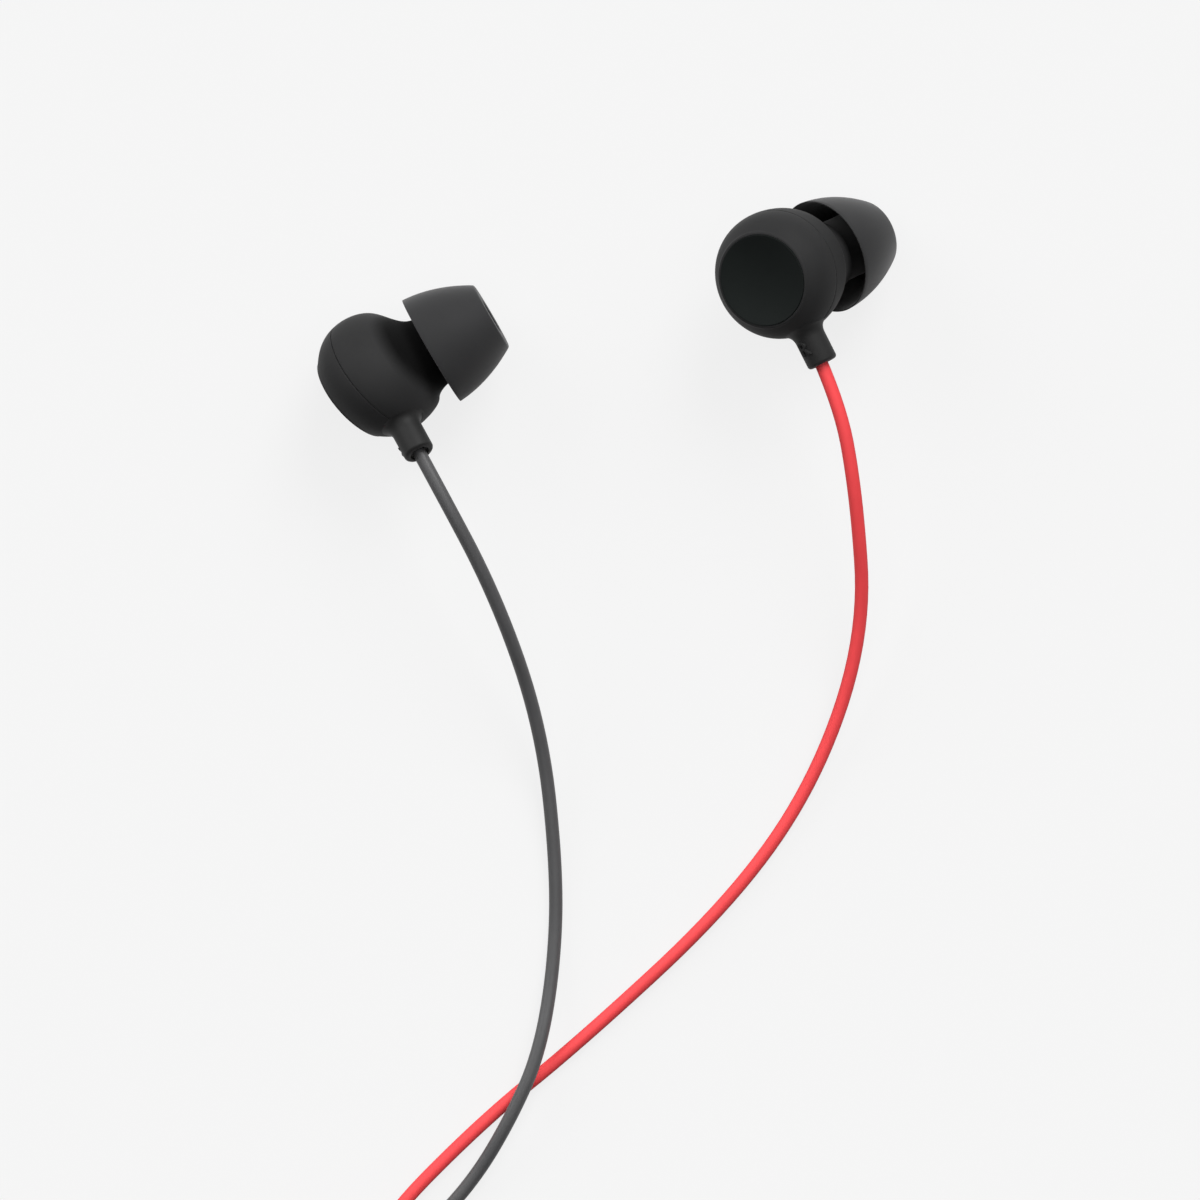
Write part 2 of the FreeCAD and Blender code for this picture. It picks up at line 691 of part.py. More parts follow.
class Hank:
    """A cord's loops, spiralling in on the lower layer and out again on the upper one."""

    def __init__(self, route, diameter, step, inner_radius, folds, half_length, turn):
        self.start = Vector(route[-1])
        self.diameter = diameter
        self.step = step
        self.folds = folds
        self.half_length = half_length
        self.lean = math.radians(HANK_LEAN)
        heading = (self.start - Vector(route[-2])).normalize()
        to_axis = FreeCAD.Rotation(Vector(0, 0, 1), -turn * HANK_LEAN)
        self.along = to_axis.multVec(heading)
        self.across = FreeCAD.Rotation(Vector(0, 0, 1), turn * 90).multVec(self.along)
        innermost = inner_radius - step / 4
        inwards = [innermost + step / 2 * (folds[0] - number) for number in range(folds[0] + 1)]
        outwards = [innermost + step / 2 * (number + 1) for number in range(folds[1])]
        self.distances = inwards + outwards
        first_reach = self.distances[0]
        self.middle = self.start + self.along * (half_length - first_reach * math.sin(self.lean))
        self.middle += self.across * (first_reach * math.cos(self.lean))

    def at(self, forward, sideways, upper):
        """A point by its place along and across the hank, on the lower or the upper layer."""
        return self.middle + self.along * forward + self.across * sideways + Vector(0, 0, self.step * upper)

    def side(self, number):
        """The side of the axis that a run lies on."""
        return -1 if number % 2 == 0 else 1

    def fold(self, number):
        """Middle, radius and end of the fold after a run."""
        here = self.side(number) * self.distances[number]
        there = self.side(number + 1) * self.distances[number + 1]
        return (here + there) / 2, abs(there - here) / 2, -self.side(number)

    def gate(self, number, fold, upper):
        """The point where a run meets the fold after or before it."""
        middle, radius, end = self.fold(fold)
        forward = end * (self.half_length - radius * math.sin(self.lean))
        return self.at(forward, middle + self.side(number) * radius * math.cos(self.lean), upper)

    def run_points(self, number):
        """A run's ends and its corner at the waist."""
        upper = number > self.folds[0]
        start = self.start if number == 0 else self.gate(number, number - 1, upper)
        last = number == sum(self.folds)
        ways = [self.way(number, 1), self.way(number, -1)]
        if last:
            mirrored = self.gate(number, number - 1, upper) - self.at(0, 0, upper)
            end = self.at(-mirrored.dot(self.along), mirrored.dot(self.across), upper)
        else:
            end = self.gate(number, number, upper)
        span = end - start
        half = span.dot(self.along) / (2 * ways[0].dot(self.along))
        slant = span.dot(self.across) / (2 * ways[0].dot(self.across))
        return start, start + ways[0] * (half + slant), end

    def way(self, number, part):
        """Heading of the first (1) or second (-1) part of a run, which lean in and then out."""
        forward = -self.side(number) * math.cos(self.lean)
        sideways = -part * self.side(number) * math.sin(self.lean)
        return self.along * forward + self.across * sideways

    def edges(self):
        """The centre line: runs with a rounded waist, folds of two arcs, and a climb on the innermost run."""
        made = []
        climb = self.folds[0]
        for number in range(len(self.distances)):
            start, corner, end = self.run_points(number)
            if number == climb:
                rise = Vector(0, 0, self.step)
                end = end + rise if end.z < start.z + self.step / 2 else end
                points = [start, start + (corner - start) * CLIMB_BEND_SHARE, corner + rise / 2]
                points += [end + (corner + rise - end) * CLIMB_BEND_SHARE, end]
                made += rounded(points, [None, WAIST_ROUND, None])[0]
            else:
                made += rounded([start, corner, end], [WAIST_ROUND])[0]
            if number < len(self.distances) - 1:
                made += self.fold_arcs(number, number >= climb)
        return made

    def fold_arcs(self, number, upper):
        """Two arcs round the end of the hank, from one run to the next."""
        middle, radius, end = self.fold(number)
        points = []
        for share in (0, 0.25, 0.5, 0.75, 1):
            turn = -self.lean + share * (math.pi + 2 * self.lean)
            sideways = middle + self.side(number) * radius * math.cos(turn)
            points.append(self.at(end * (self.half_length + radius * math.sin(turn)), sideways, upper))
        return [Part.Arc(*points[0:3]).toShape(), Part.Arc(*points[2:5]).toShape()]

    def tube(self, name):
        """The solid, with its radii and its least gap to itself."""
        edges = self.edges()
        count = sum(self.folds)
        radii = [self.fold(number)[1] / self.diameter for number in range(count)]
        print(f"{name}: {count} folds, radii in diameters from {min(radii):.1f} to {max(radii):.1f}")
        print(f"{name}: least gap to itself {self.least_gap(edges):.2f} mm")
        return sweep(edges, self.start, self.way(0, 1), self.diameter, HANK_CORD_SIDES, name)

    def least_gap(self, edges):
        """Least gap between stretches that aren't neighbours along the cord."""
        places = []
        travelled = 0.0
        for edge in edges:
            count = max(3, round(edge.Length / (self.diameter / 2)))
            for place, point in enumerate(edge.discretize(Number=count + 1)[:-1]):
                places.append((travelled + edge.Length * place / count, point.x, point.y, point.z))
            travelled += edge.Length
        least = math.inf
        for first, (along, *here) in enumerate(places):
            for other, *there in places[first + 1:]:
                if other - along > NEIGHBOUR_DIAMETERS * self.diameter:
                    least = min(least, math.dist(here, there))
        return least - self.diameter

    def end(self):
        """The last point and the heading there."""
        number = sum(self.folds)
        return self.run_points(number)[2], self.way(number, -1)

    def tie(self):
        """A band round the waist, resting on the surface."""
        reach = self.diameter / 2 + TIE_CLEARANCE + TIE_WIDTH / 2 * math.tan(self.lean)
        sides = []
        for number in (0, 1):
            corner = self.run_points(number)[1] - self.middle
            sides.append(abs(corner.dot(self.across)) + reach)
        low = -sides[0]
        high = sides[1]
        half_height = self.diameter / 2 * math.cos(math.pi / HANK_CORD_SIDES)
        top = self.start.z + self.step + half_height + TIE_CLEARANCE
        solid = self.band(low - TIE_WALL, high + TIE_WALL, 0, top + TIE_WALL, TIE_CORNER + TIE_WALL)
        hole = self.band(low, high, TIE_WALL, top, TIE_CORNER)
        return solid.cut(hole)

    def band(self, low, high, bottom, top, corner):
        """A rounded bar along the hank, as long as the tie is wide."""
        start = self.middle - self.along * (TIE_WIDTH / 2)
        start.z = 0
        box = rounded_box(high - low, top - bottom, TIE_WIDTH, corner)
        turn = FreeCAD.Rotation(self.along, self.across, Vector(0, 0, 1), "XYZ")
        base = start + self.across * ((low + high) / 2) + Vector(0, 0, (bottom + top) / 2)
        box.Placement = FreeCAD.Placement(base, turn)
        return box


def rounded_wire(width, height, corner, forward):
    """A rectangle across X with rounded corners."""
    cut = corner * (1 - math.sqrt(0.5))
    arcs = []
    for side, rise in ((1, 1), (-1, 1), (-1, -1), (1, -1)):
        across = side * width / 2
        up = rise * height / 2
        upright = (across, up - rise * corner)
        level = (across - side * corner, up)
        middle = (across - side * cut, up - rise * cut)
        places = (upright, middle, level) if side == rise else (level, middle, upright)
        arcs.append([Vector(forward, *place) for place in places])
    edges = []
    for arc, following in zip(arcs, arcs[1:] + arcs[:1]):
        edges.append(Part.Arc(*arc).toShape())
        edges.append(Part.LineSegment(arc[2], following[0]).toShape())
    return Part.Wire(edges)


def rounded_box(width, height, length, corner):
    """A bar along X from its end face, with rounded long edges."""
    return Part.Face(rounded_wire(width, height, corner, 0)).extrude(Vector(length, 0, 0))


def facing(shape, place, height, heading):
    """A shape made along X, set down with its axis along a level heading."""
    turn = FreeCAD.Rotation(Vector(1, 0, 0), Vector(*heading))
    shape = shape.copy()
    shape.Placement = FreeCAD.Placement(Vector(*place, height), turn).multiply(shape.Placement)
    return shape


def splitter():
    """Moulded shell, narrowing to the main cord, and the joint inside it."""
    half = SPLITTER_HEIGHT / 2
    wide = rounded_wire(SPLITTER_WIDTH, SPLITTER_HEIGHT, SPLITTER_CORNER, 0)
    narrow = rounded_wire(SPLITTER_NARROW, SPLITTER_HEIGHT, SPLITTER_CORNER, SPLITTER_LENGTH)
    shell = Part.makeLoft([wide, narrow], True, True)
    core_start = (SPLITTER_LENGTH - CORE_LENGTH) / 2
    low = (core_start, -CORE_WIDTH / 2, -CORE_HEIGHT / 2)
    high = (core_start + CORE_LENGTH, CORE_WIDTH / 2, CORE_HEIGHT / 2)
    shell = shell.cut(block(low, high))
    for side in (-1, 1):
        bore = rod(BRANCH_DIAMETER / 2 + CORD_FIT, 0, core_start)
        bore.translate(Vector(0, side * BRANCH_SPACING / 2, 0))
        shell = shell.cut(bore)
    shell = shell.cut(rod(MAIN_DIAMETER / 2 + CORD_FIT, core_start + CORE_LENGTH, SPLITTER_LENGTH))
    core_low = (low[0], low[1] + GLUE_GAP, low[2] + GLUE_GAP)
    core_high = (high[0], high[1] - GLUE_GAP, high[2] - GLUE_GAP)
    core = block(core_low, core_high)
    return [facing(piece, SPLITTER_PLACE, half, (0, -1, 0)) for piece in (shell, core)]


def plug():
    """Every piece of the plug, along X from the cord's end of its strain relief."""
    grip_start = RELIEF_LENGTH
    grip_end = grip_start + GRIP_LENGTH
    head_start = grip_end - CORE_HEAD_LENGTH
    relief = turned(
        (0, 0),
        (0, RELIEF_THIN_RADIUS),
        (RELIEF_LENGTH, RELIEF_ROOT_RADIUS),
        (RELIEF_LENGTH, RELIEF_SPIGOT_RADIUS),
        (RELIEF_LENGTH + RELIEF_SPIGOT_LENGTH, RELIEF_SPIGOT_RADIUS),
        (RELIEF_LENGTH + RELIEF_SPIGOT_LENGTH, 0),
    )
    relief = relief.cut(rod(MAIN_DIAMETER / 2 + CORD_FIT, 0, RELIEF_CORD_DEPTH))
    pitch = RELIEF_LENGTH / (RELIEF_GROOVES + 1)
    for number in range(RELIEF_GROOVES):
        start = pitch * (number + 1) - RELIEF_GROOVE_WIDTH / 2
        relief = relief.cut(tube(GRIP_RADIUS, RELIEF_CORE_RADIUS, start, start + RELIEF_GROOVE_WIDTH))
    grip = turned(
        (grip_start, 0),
        (grip_start, GRIP_RADIUS - GRIP_CHAMFER),
        (grip_start + GRIP_CHAMFER, GRIP_RADIUS),
        (grip_end - GRIP_CHAMFER, GRIP_END_RADIUS),
        (grip_end, GRIP_END_RADIUS - GRIP_CHAMFER),
        (grip_end, 0),
    )
    grip = grip.cut(rod(RELIEF_SPIGOT_RADIUS + GLUE_GAP, grip_start, grip_start + RELIEF_SPIGOT_LENGTH))
    grip = grip.cut(rod(CORE_HEAD_RADIUS + GLUE_GAP, head_start, grip_end))
    tip_start = grip_end + PIN_LENGTH - TIP_CONTACT_LENGTH
    ring_start = tip_start - INSULATOR_WIDTH - RING_CONTACT_LENGTH
    sleeve_end = ring_start - INSULATOR_WIDTH
    rod_end = tip_start + TIP_SOCKET_DEPTH
    core = rod(CORE_HEAD_RADIUS, head_start, grip_end).fuse(rod(CORE_ROD_RADIUS, grip_end, rod_end))
    bore = CORE_ROD_RADIUS + GLUE_GAP
    ball = [(tip_start + reach, radius) for reach, radius in TIP_BALL]
    tip = turned((tip_start, 0), (tip_start, PIN_RADIUS), *ball, (grip_end + PIN_LENGTH, 0))
    insulators = [
        tube(PIN_RADIUS, bore, sleeve_end, ring_start),
        tube(PIN_RADIUS, bore, tip_start - INSULATOR_WIDTH, tip_start),
    ]
    pieces = {
        "plug_strain_relief": relief,
        "plug_grip": grip,
        "plug_core": core,
        "plug_sleeve": tube(PIN_RADIUS, bore, grip_end, sleeve_end),
        "plug_ring": tube(PIN_RADIUS, bore, ring_start, ring_start + RING_CONTACT_LENGTH),
        "plug_insulators": Part.makeCompound(insulators),
        "plug_tip": tip.cut(rod(bore, tip_start, rod_end + GLUE_GAP)),
    }
    return {name: facing(piece, PLUG_PLACE, GRIP_RADIUS, (-1, 0, 0)) for name, piece in pieces.items()}


def tail_points(hank, tail):
    """A route that goes straight on from a hank's end and then through its points."""
    end, heading = hank.end()
    straight, points = tail
    return [end, end + heading * straight] + [Vector(point) for point in points]


def cords():
    """Free cords, hanks, ties, splitter and plug."""
    branch = (BRANCH_DIAMETER, BRANCH_STEP, BRANCH_INNER_RADIUS, BRANCH_FOLDS)
    main = (MAIN_DIAMETER, MAIN_STEP, MAIN_INNER_RADIUS, MAIN_FOLDS)
    left_hank = Hank(LEFT_ROUTE, *branch, LEFT_HALF_LENGTH, 1)
    right_hank = Hank(RIGHT_ROUTE, *branch, RIGHT_HALF_LENGTH, -1)
    main_hank = Hank(MAIN_ROUTE, *main, MAIN_HALF_LENGTH, -1)
    splitter_shell, splitter_core = splitter()
    made = {
        "left_cord": cord_tube(LEFT_ROUTE, BRANCH_DIAMETER, FREE_CORD_SIDES, "left cord"),
        "right_cord": cord_tube(RIGHT_ROUTE, BRANCH_DIAMETER, FREE_CORD_SIDES, "right cord"),
        "left_hank": left_hank.tube("left hank"),
        "right_hank": right_hank.tube("right hank"),
        "splitter_shell": splitter_shell,
        "splitter_core": splitter_core,
        "main_lead": cord_tube(MAIN_ROUTE, MAIN_DIAMETER, FREE_CORD_SIDES, "main lead"),
        "main_hank": main_hank.tube("main hank"),
        "cord_ties": Part.makeCompound([hank.tie() for hank in (left_hank, right_hank, main_hank)]),
    }
    tails = (
        ("left_tail", left_hank, LEFT_TAIL, BRANCH_DIAMETER),
        ("right_tail", right_hank, RIGHT_TAIL, BRANCH_DIAMETER),
        ("main_tail", main_hank, MAIN_TAIL, MAIN_DIAMETER),
    )
    for name, hank, tail, diameter in tails:
        made[name] = cord_tube(tail_points(hank, tail), diameter, FREE_CORD_SIDES, name.replace("_", " "))
    made.update(plug())
    return made


def bud_pieces():
    """Every piece of one ear bud, in the bud's own frame."""
    form = housing_form()
    return {
        "ear_tip": ear_tip(),
        "front_shell": front_shell(form),
        "rear_shell": rear_shell(form),
        "rear_disc": rear_disc(),
        "stem": stem(form),
        "cord_stop": cord_stop(),
        "nozzle_mesh": nozzle_mesh(),
        "gasket": gasket(),
        "driver_cover": driver_cover(),
        "driver_frame": driver_frame(),
        "yoke": yoke(),
        "magnet": magnet(),
        "pole_plate": pole_plate(),
        "voice_coil": voice_coil(),
        "diaphragm": diaphragm(),
        "surround": surround(),
        "terminal_board": terminal_board(),
        "damping_pad": damping_pad(),
        "lead_wires": lead_wires(),
    }


def bud_turn(bud):
    """The turn from the bud's own frame to the way it lies."""
    forward = Vector(*bud["forward"]).normalize()
    up = -Vector(*bud["stem"])
    up = (up - forward * up.dot(forward)).normalize()
    side = up.cross(forward)
    return FreeCAD.Matrix(
        forward.x, side.x, up.x, bud["middle"][0],
        forward.y, side.y, up.y, bud["middle"][1],
        forward.z, side.z, up.z, 0,
        0, 0, 0, 1,
    )


def laid(shape, bud, height=0.0):
    """A piece of a bud, mirrored for the right one, turned and set down."""
    moved = shape.mirror(Vector(0, 0, 0), Vector(0, 1, 0)) if bud["mirrored"] else shape.copy()
    lift = FreeCAD.Placement(Vector(0, 0, height), FreeCAD.Rotation())
    moved.Placement = lift.multiply(FreeCAD.Placement(bud_turn(bud))).multiply(moved.Placement)
    return moved


def lowest(shape):
    """Height of a shape's lowest point."""
    return shape.optimalBoundingBox(False, False).ZMin


def main():
    os.makedirs("parts", exist_ok=True)
    nodes = {}
    pieces = bud_pieces()
    for prefix, bud in (("left", LEFT_BUD), ("right", RIGHT_BUD)):
        outside = ("ear_tip", "front_shell", "rear_shell", "rear_disc", "stem")
        height = -min(lowest(laid(pieces[name], bud)) for name in outside)
        print(f"{prefix} bud: middle {height:.3f} mm above the surface")
        for name, piece in pieces.items():
            nodes[f"{prefix}_{name}"] = laid(piece, bud, height)
    nodes.update(cords())
    for name, shape in nodes.items():
        if not shape.isValid():
            print(f"{name} isn't valid")
        shape.exportStep(f"parts/{name}.step")


main()
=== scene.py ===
import json
import math

import bmesh
import bpy
import numpy
from mathutils import Matrix, Vector


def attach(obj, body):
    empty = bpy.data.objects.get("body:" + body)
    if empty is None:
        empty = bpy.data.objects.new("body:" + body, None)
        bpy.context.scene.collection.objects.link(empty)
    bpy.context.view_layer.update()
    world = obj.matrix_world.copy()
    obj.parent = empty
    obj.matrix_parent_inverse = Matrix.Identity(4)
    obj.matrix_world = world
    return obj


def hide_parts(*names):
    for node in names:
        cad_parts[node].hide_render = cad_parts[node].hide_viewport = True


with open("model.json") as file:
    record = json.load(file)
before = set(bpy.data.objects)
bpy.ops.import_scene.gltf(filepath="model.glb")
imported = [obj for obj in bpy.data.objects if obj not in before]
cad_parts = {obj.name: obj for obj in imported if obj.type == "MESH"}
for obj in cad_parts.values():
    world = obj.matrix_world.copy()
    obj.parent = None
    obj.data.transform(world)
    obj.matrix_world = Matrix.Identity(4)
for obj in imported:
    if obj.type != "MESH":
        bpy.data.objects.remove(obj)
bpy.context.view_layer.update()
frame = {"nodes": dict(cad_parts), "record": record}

# Wired in-ear earphones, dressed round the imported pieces. Places on the floor, cords and lamps are in metres.
# A piece of an ear bud or of the plug is shaped in millimetres, a bud's with +X forward, +Y to the nozzle's
# side and +Z away from the stem, and is then set to the way that it lies.
MM = 0.001

# Photograph's framing
PHOTO_WIDTH = 0.12712
PHOTO_MIDDLE = (-0.00074, -0.02874)
CAMERA_HEIGHT = 3.0
OBJECT_MID_HEIGHT = 0.006
SENSOR_WIDTH = 36.0

# Pale surroundings: what the floor shows of its own and its shade under light, the backdrop with the heights
# between which it fades, and the room's light
FLOOR_SIZE = 6.0
FLOOR_GLOW = 0.81
FLOOR_SHADE = 0.10
BACKDROP = 0.88
BACKDROP_FADE = (0.06, 0.25)
ROOM_LIGHT = 0.04
# Lamps: direction that the light comes from, strength and width in degrees
LAMPS = {
    "key": ((0.38, 0.95, 0.85), 2.2, 30),
    "top": ((0.0, 0.15, 1.0), 0.95, 60),
    "right": ((0.87, 0.50, 0.80), 0.4, 40),
    "left": ((-0.87, 0.60, 0.50), 1.5, 40),
}

# Finish: the wide patches' scale and how much rougher they are, and how much darker (painted shade) and rougher
# an inside is
PATCH_SCALE = 260.0
PATCH_ROUGHNESS = 0.12
PAINTED_SHADE_STRENGTH = 0.9
INSIDE_ROUGHER = 0.35

# Cords: each route's control points from its exit to its hank, and each tail's straight stretch and its
# last points
BRANCH_DIAMETER = 0.00145
MAIN_DIAMETER = 0.0020
LEFT_LENGTH = 0.438
RIGHT_LENGTH = 0.428
MAIN_LENGTH = 0.866
LEFT_ROUTE = [
    (-0.02234, -0.00862, 0.00885),
    (-0.01835, -0.01587, 0.01317),
    (-0.01170, -0.02840, 0.00960),
    (-0.00690, -0.04240, 0.00260),
    (-0.00530, -0.05750, 0.00073),
    (-0.00560, -0.06760, 0.00073),
    (-0.00720, -0.07700, 0.00280),
    (-0.01040, -0.08410, 0.00280),
    (-0.01420, -0.09040, 0.00110),
    (-0.01920, -0.09580, 0.00108),
    (-0.01850, -0.10300, 0.00108),
]
RIGHT_ROUTE = [
    (0.02020, 0.00158, 0.01127),
    (0.02438, -0.00676, 0.01163),
    (0.02640, -0.01760, 0.00990),
    (0.02740, -0.03220, 0.00360),
    (0.02220, -0.04790, 0.00073),
    (0.01300, -0.06100, 0.00073),
    (-0.00290, -0.07570, 0.00073),
    (-0.01330, -0.08410, 0.00073),
    (-0.02490, -0.09590, 0.00108),
    (-0.02560, -0.10300, 0.00108),
]
LEFT_TAIL = (0.0035, [(-0.02090, -0.14150, 0.00180), (-0.02090, -0.14700, 0.00180)])
RIGHT_TAIL = (0.0050, [(-0.02320, -0.14000, 0.00180), (-0.02320, -0.14700, 0.00180)])
MAIN_ROUTE = [
    (-0.02205, -0.15200, 0.00180),
    (-0.02205, -0.16130, 0.00180),
    (-0.01560, -0.16810, 0.00100),
    (-0.00600, -0.16860, 0.00100),
    (0.00115, -0.16250, 0.00132),
    (0.00210, -0.15355, 0.00132),
]
MAIN_TAIL = (0.0053, [
    (0.02720, -0.16500, 0.00360),
    (0.02440, -0.17210, 0.00320),
    (0.01850, -0.17600, 0.00300),
    (0.01150, -0.17600, 0.00300),
])

# Plug, along its axis from the cord's end of its strain relief
PLUG_PLACE = (0.0155, -0.1760, 0.0030)
RELIEF_LENGTH = 9.00
RELIEF_THIN_RADIUS = 1.45
RELIEF_ROOT_RADIUS = 2.20
RELIEF_GROOVES = 4
RELIEF_GROOVE_WIDTH = 0.60
RELIEF_CORE_RADIUS = 1.30
RELIEF_BORE = 1.03
RELIEF_CORD_DEPTH = 4.00
RELIEF_SPIGOT_LENGTH = 2.00
RELIEF_SPIGOT_RADIUS = 1.50
RELIEF_ROUND = 0.15
GROOVE_ROUND = 0.06
GRIP_LENGTH = 16.00
GRIP_RADIUS = 3.00
GRIP_END_RADIUS = 2.75
GRIP_ROUND = 0.60
GRIP_END_ROUND = 0.50
GLUE_GAP = 0.01
GRIP_HEAD_LENGTH = 5.00
GRIP_HEAD_RADIUS = 2.11
PIN_LENGTH = 14.00
PIN_RADIUS = 1.75
PIN_BORE = 0.81
INSULATOR_WIDTH = 0.70
TIP_CONTACT_LENGTH = 3.50
RING_CONTACT_LENGTH = 2.40
TIP_SOCKET_DEPTH = 2.21
CONTACT_ROUND = 0.05
# The ball's corners: how far into the tip, radius and rounding
TIP_BALL = ((0.70, 1.15, 0.30), (1.60, 1.60, 0.35), (3.20, 0.45, 0.22))

# Hanks: step between loops, innermost fold's radius, folds on the lower and the upper layer, and half length
HANK_LEAN = math.radians(6.0)
FOLD_POINTS = 6
BRANCH_WINDING = {"step": 0.00195, "inner": 0.00435, "folds": (3, 3)}
MAIN_WINDING = {"step": 0.0025, "inner": 0.0060, "folds": (6, 5)}
LEFT_HALF_LENGTH = 0.0156
RIGHT_HALF_LENGTH = 0.0130
MAIN_HALF_LENGTH = 0.0200

# How each ear bud lies: its middle over the floor, the way it faces and the way its stem points
BUDS = {
    "left": {
        "middle": (-23.76, -4.51, 6.985),
        "forward": (0.709, 0.605, 0.362),
        "stem": (0.427, -0.777, 0.462),
        "mirrored": False,
    },
    "right": {
        "middle": (18.46, 5.89, 10.381),
        "forward": (0.439, 0.182, -0.880),
        "stem": (0.452, -0.891, 0.030),
        "mirrored": True,
    },
}

# Housing: rings by their place forward, to the nozzle's side and up, their tilt and their radius
NOZZLE_LEAN = math.radians(21.3)
NECK = Vector((4.03, 2.50, -0.35))
COLLAR_LENGTH = 1.25
HOUSING_RINGS = (
    (-4.55, 0.0, 0.0, 0.0, 5.21),
    (-3.20, 0.0, 0.0, 0.0, 6.25),
    (0.0, 0.0, 0.0, 0.0, 6.86),
    (2.36, 0.84, 0.0, math.radians(6.1), 6.00),
    (NECK.x, NECK.y, NECK.z, NOZZLE_LEAN, 4.10),
    (NECK.x + COLLAR_LENGTH * math.cos(NOZZLE_LEAN), NECK.y + COLLAR_LENGTH * math.sin(NOZZLE_LEAN), NECK.z,
     NOZZLE_LEAN, 3.75),
)
# Seam: the width of its rounded edges, the edge's corners as shares of that width along and under the skin,
# and how far under the skin the ledge in it has its foot and its top
SEAM_BACK = 0.80
SEAM_GAP = 0.08
SEAM_EDGE = 0.05
SEAM_ROUND = ((0.3, 0.392), (0.7, 0.072))
SEAM_LEDGE = (0.30, 0.06)
LEDGE_ROOM = 0.005
LAP_RADIUS = 5.35
LAP_ROOM = 0.05
LAP_LENGTH = 0.70
SPIGOT_LENGTH = 0.65
# Space for the driver, and the chamber before it with its front end's place forward and to the nozzle's side
CAVITY_RADIUS = 4.65
CHAMBER_RADIUS = 3.95
CHAMBER_BACK = 2.50
CHAMBER_FRONT = (3.10, 0.9)
DISC_SEAT_RADIUS = 4.90
DISC_SEAT_LIP = 0.15
DISC_SEAT_ROUND = 0.04
DISC_SEAT_DEPTH = 3.90
NOZZLE_LENGTH = 4.20
NOZZLE_RADIUS = 2.45
NOZZLE_BORE = 1.75
MESH_SEAT = 0.30
LIP_HEIGHT = 0.20
LIP_LENGTH = 0.70
# How far behind the neck the painted shade starts, and the length over which it grows
NECK_PAINTED_SHADE = (0.9, 1.0)

# Ear tip, along the nozzle from the rim of its skirt
SKIRT_FORWARD = 0.87
TIP_LENGTH = 7.37
SKIRT_RADIUS = 6.17
NOSE_RADIUS = 3.75
TIP_BULGE = 0.50
SKIRT_WALL = 0.45
RIM_WALL = 0.12
RIM_TAPER = 2.40
SKIRT_DEPTH = 5.40
CORE_BORE = 2.70
CORE_RADIUS = 3.35
CORE_FOOT = 0.43
CORE_STOP = 4.63
TIP_MOUTH = 1.90
RIM_ROUND = 0.04
NOSE_ROUND = 0.18
MOUTH_ROUND = 0.30
SLEEVE_ROUND = 0.14
# Where the tip's hollow gets painted shade: up to a little past the skirt's depth, and under most of the rim's
# wall
PAINTED_SHADE_REACH = 0.1
PAINTED_SHADE_WALL = 0.6 * RIM_WALL

# Disc in the back of the housing
DISC_RADIUS = 4.87
DISC_FACE = 4.80
DISC_FLOOR = 3.90
DISH_RADIUS = 4.80
DISH_DEPTH = 0.80
DISC_ROUND = 0.04
DISH_ROUND = 0.02

# Stem, along its axis from the middle of the housing
STEM_RADIUS = 1.66
STEM_FLARE = 1.30
STEM_LENGTH = 10.62
STEM_BORE = 0.755
STEM_ROUND = 0.36
ROOT_DEPTH = 0.50
ROOT_SINK = 0.01
RECESS_RADIUS = 1.02
RECESS_DEPTH = 0.30
RECESS_ROUND = 0.10
NUB_PLACE = 9.45
LETTER_PLACE = 8.50
LETTER_HEIGHT = 1.55
CAPITAL_SHARE = 0.72
LETTER_PROUD = {"left": 0.05, "right": 0.18}
LETTER_TURN = math.radians(15)
LETTER_DEPTH = 0.16
LETTER_EDGE = 0.03
NUB_RADIUS = 0.34
NUB_HEIGHT_SHARE = 0.6

# Faces round a turned piece, and steps along each outline
ROUND_STEPS = 120
STEM_STEPS = 72
PLUG_STEPS = 96
TIP_STEPS = 14
SKIRT_STEPS = 9
FRONT_STEPS = 30
REAR_STEPS = 20
SKIN_STEPS = 60
DISH_STEPS = 12
FLARE_STEPS = 8
# Angle up to which shading is smooth
SMOOTH_ANGLE = math.radians(38)


def deselect():
    """Leaves edit mode with nothing selected."""
    if bpy.context.object and bpy.context.object.mode != "OBJECT":
        bpy.ops.object.mode_set(mode="OBJECT")
    bpy.ops.object.select_all(action="DESELECT")


def take(piece):
    """Selects one piece alone and makes it the active one."""
    deselect()
    piece.select_set(True)
    bpy.context.view_layer.objects.active = piece


def copy_of(piece):
    """A copy of a piece, with its own mesh."""
    take(piece)
    bpy.ops.object.duplicate()
    return bpy.context.object


def apply_place(piece):
    """Writes a piece's place, turn and size into its mesh."""
    take(piece)
    bpy.ops.object.transform_apply(location=True, rotation=True, scale=True)
    return piece


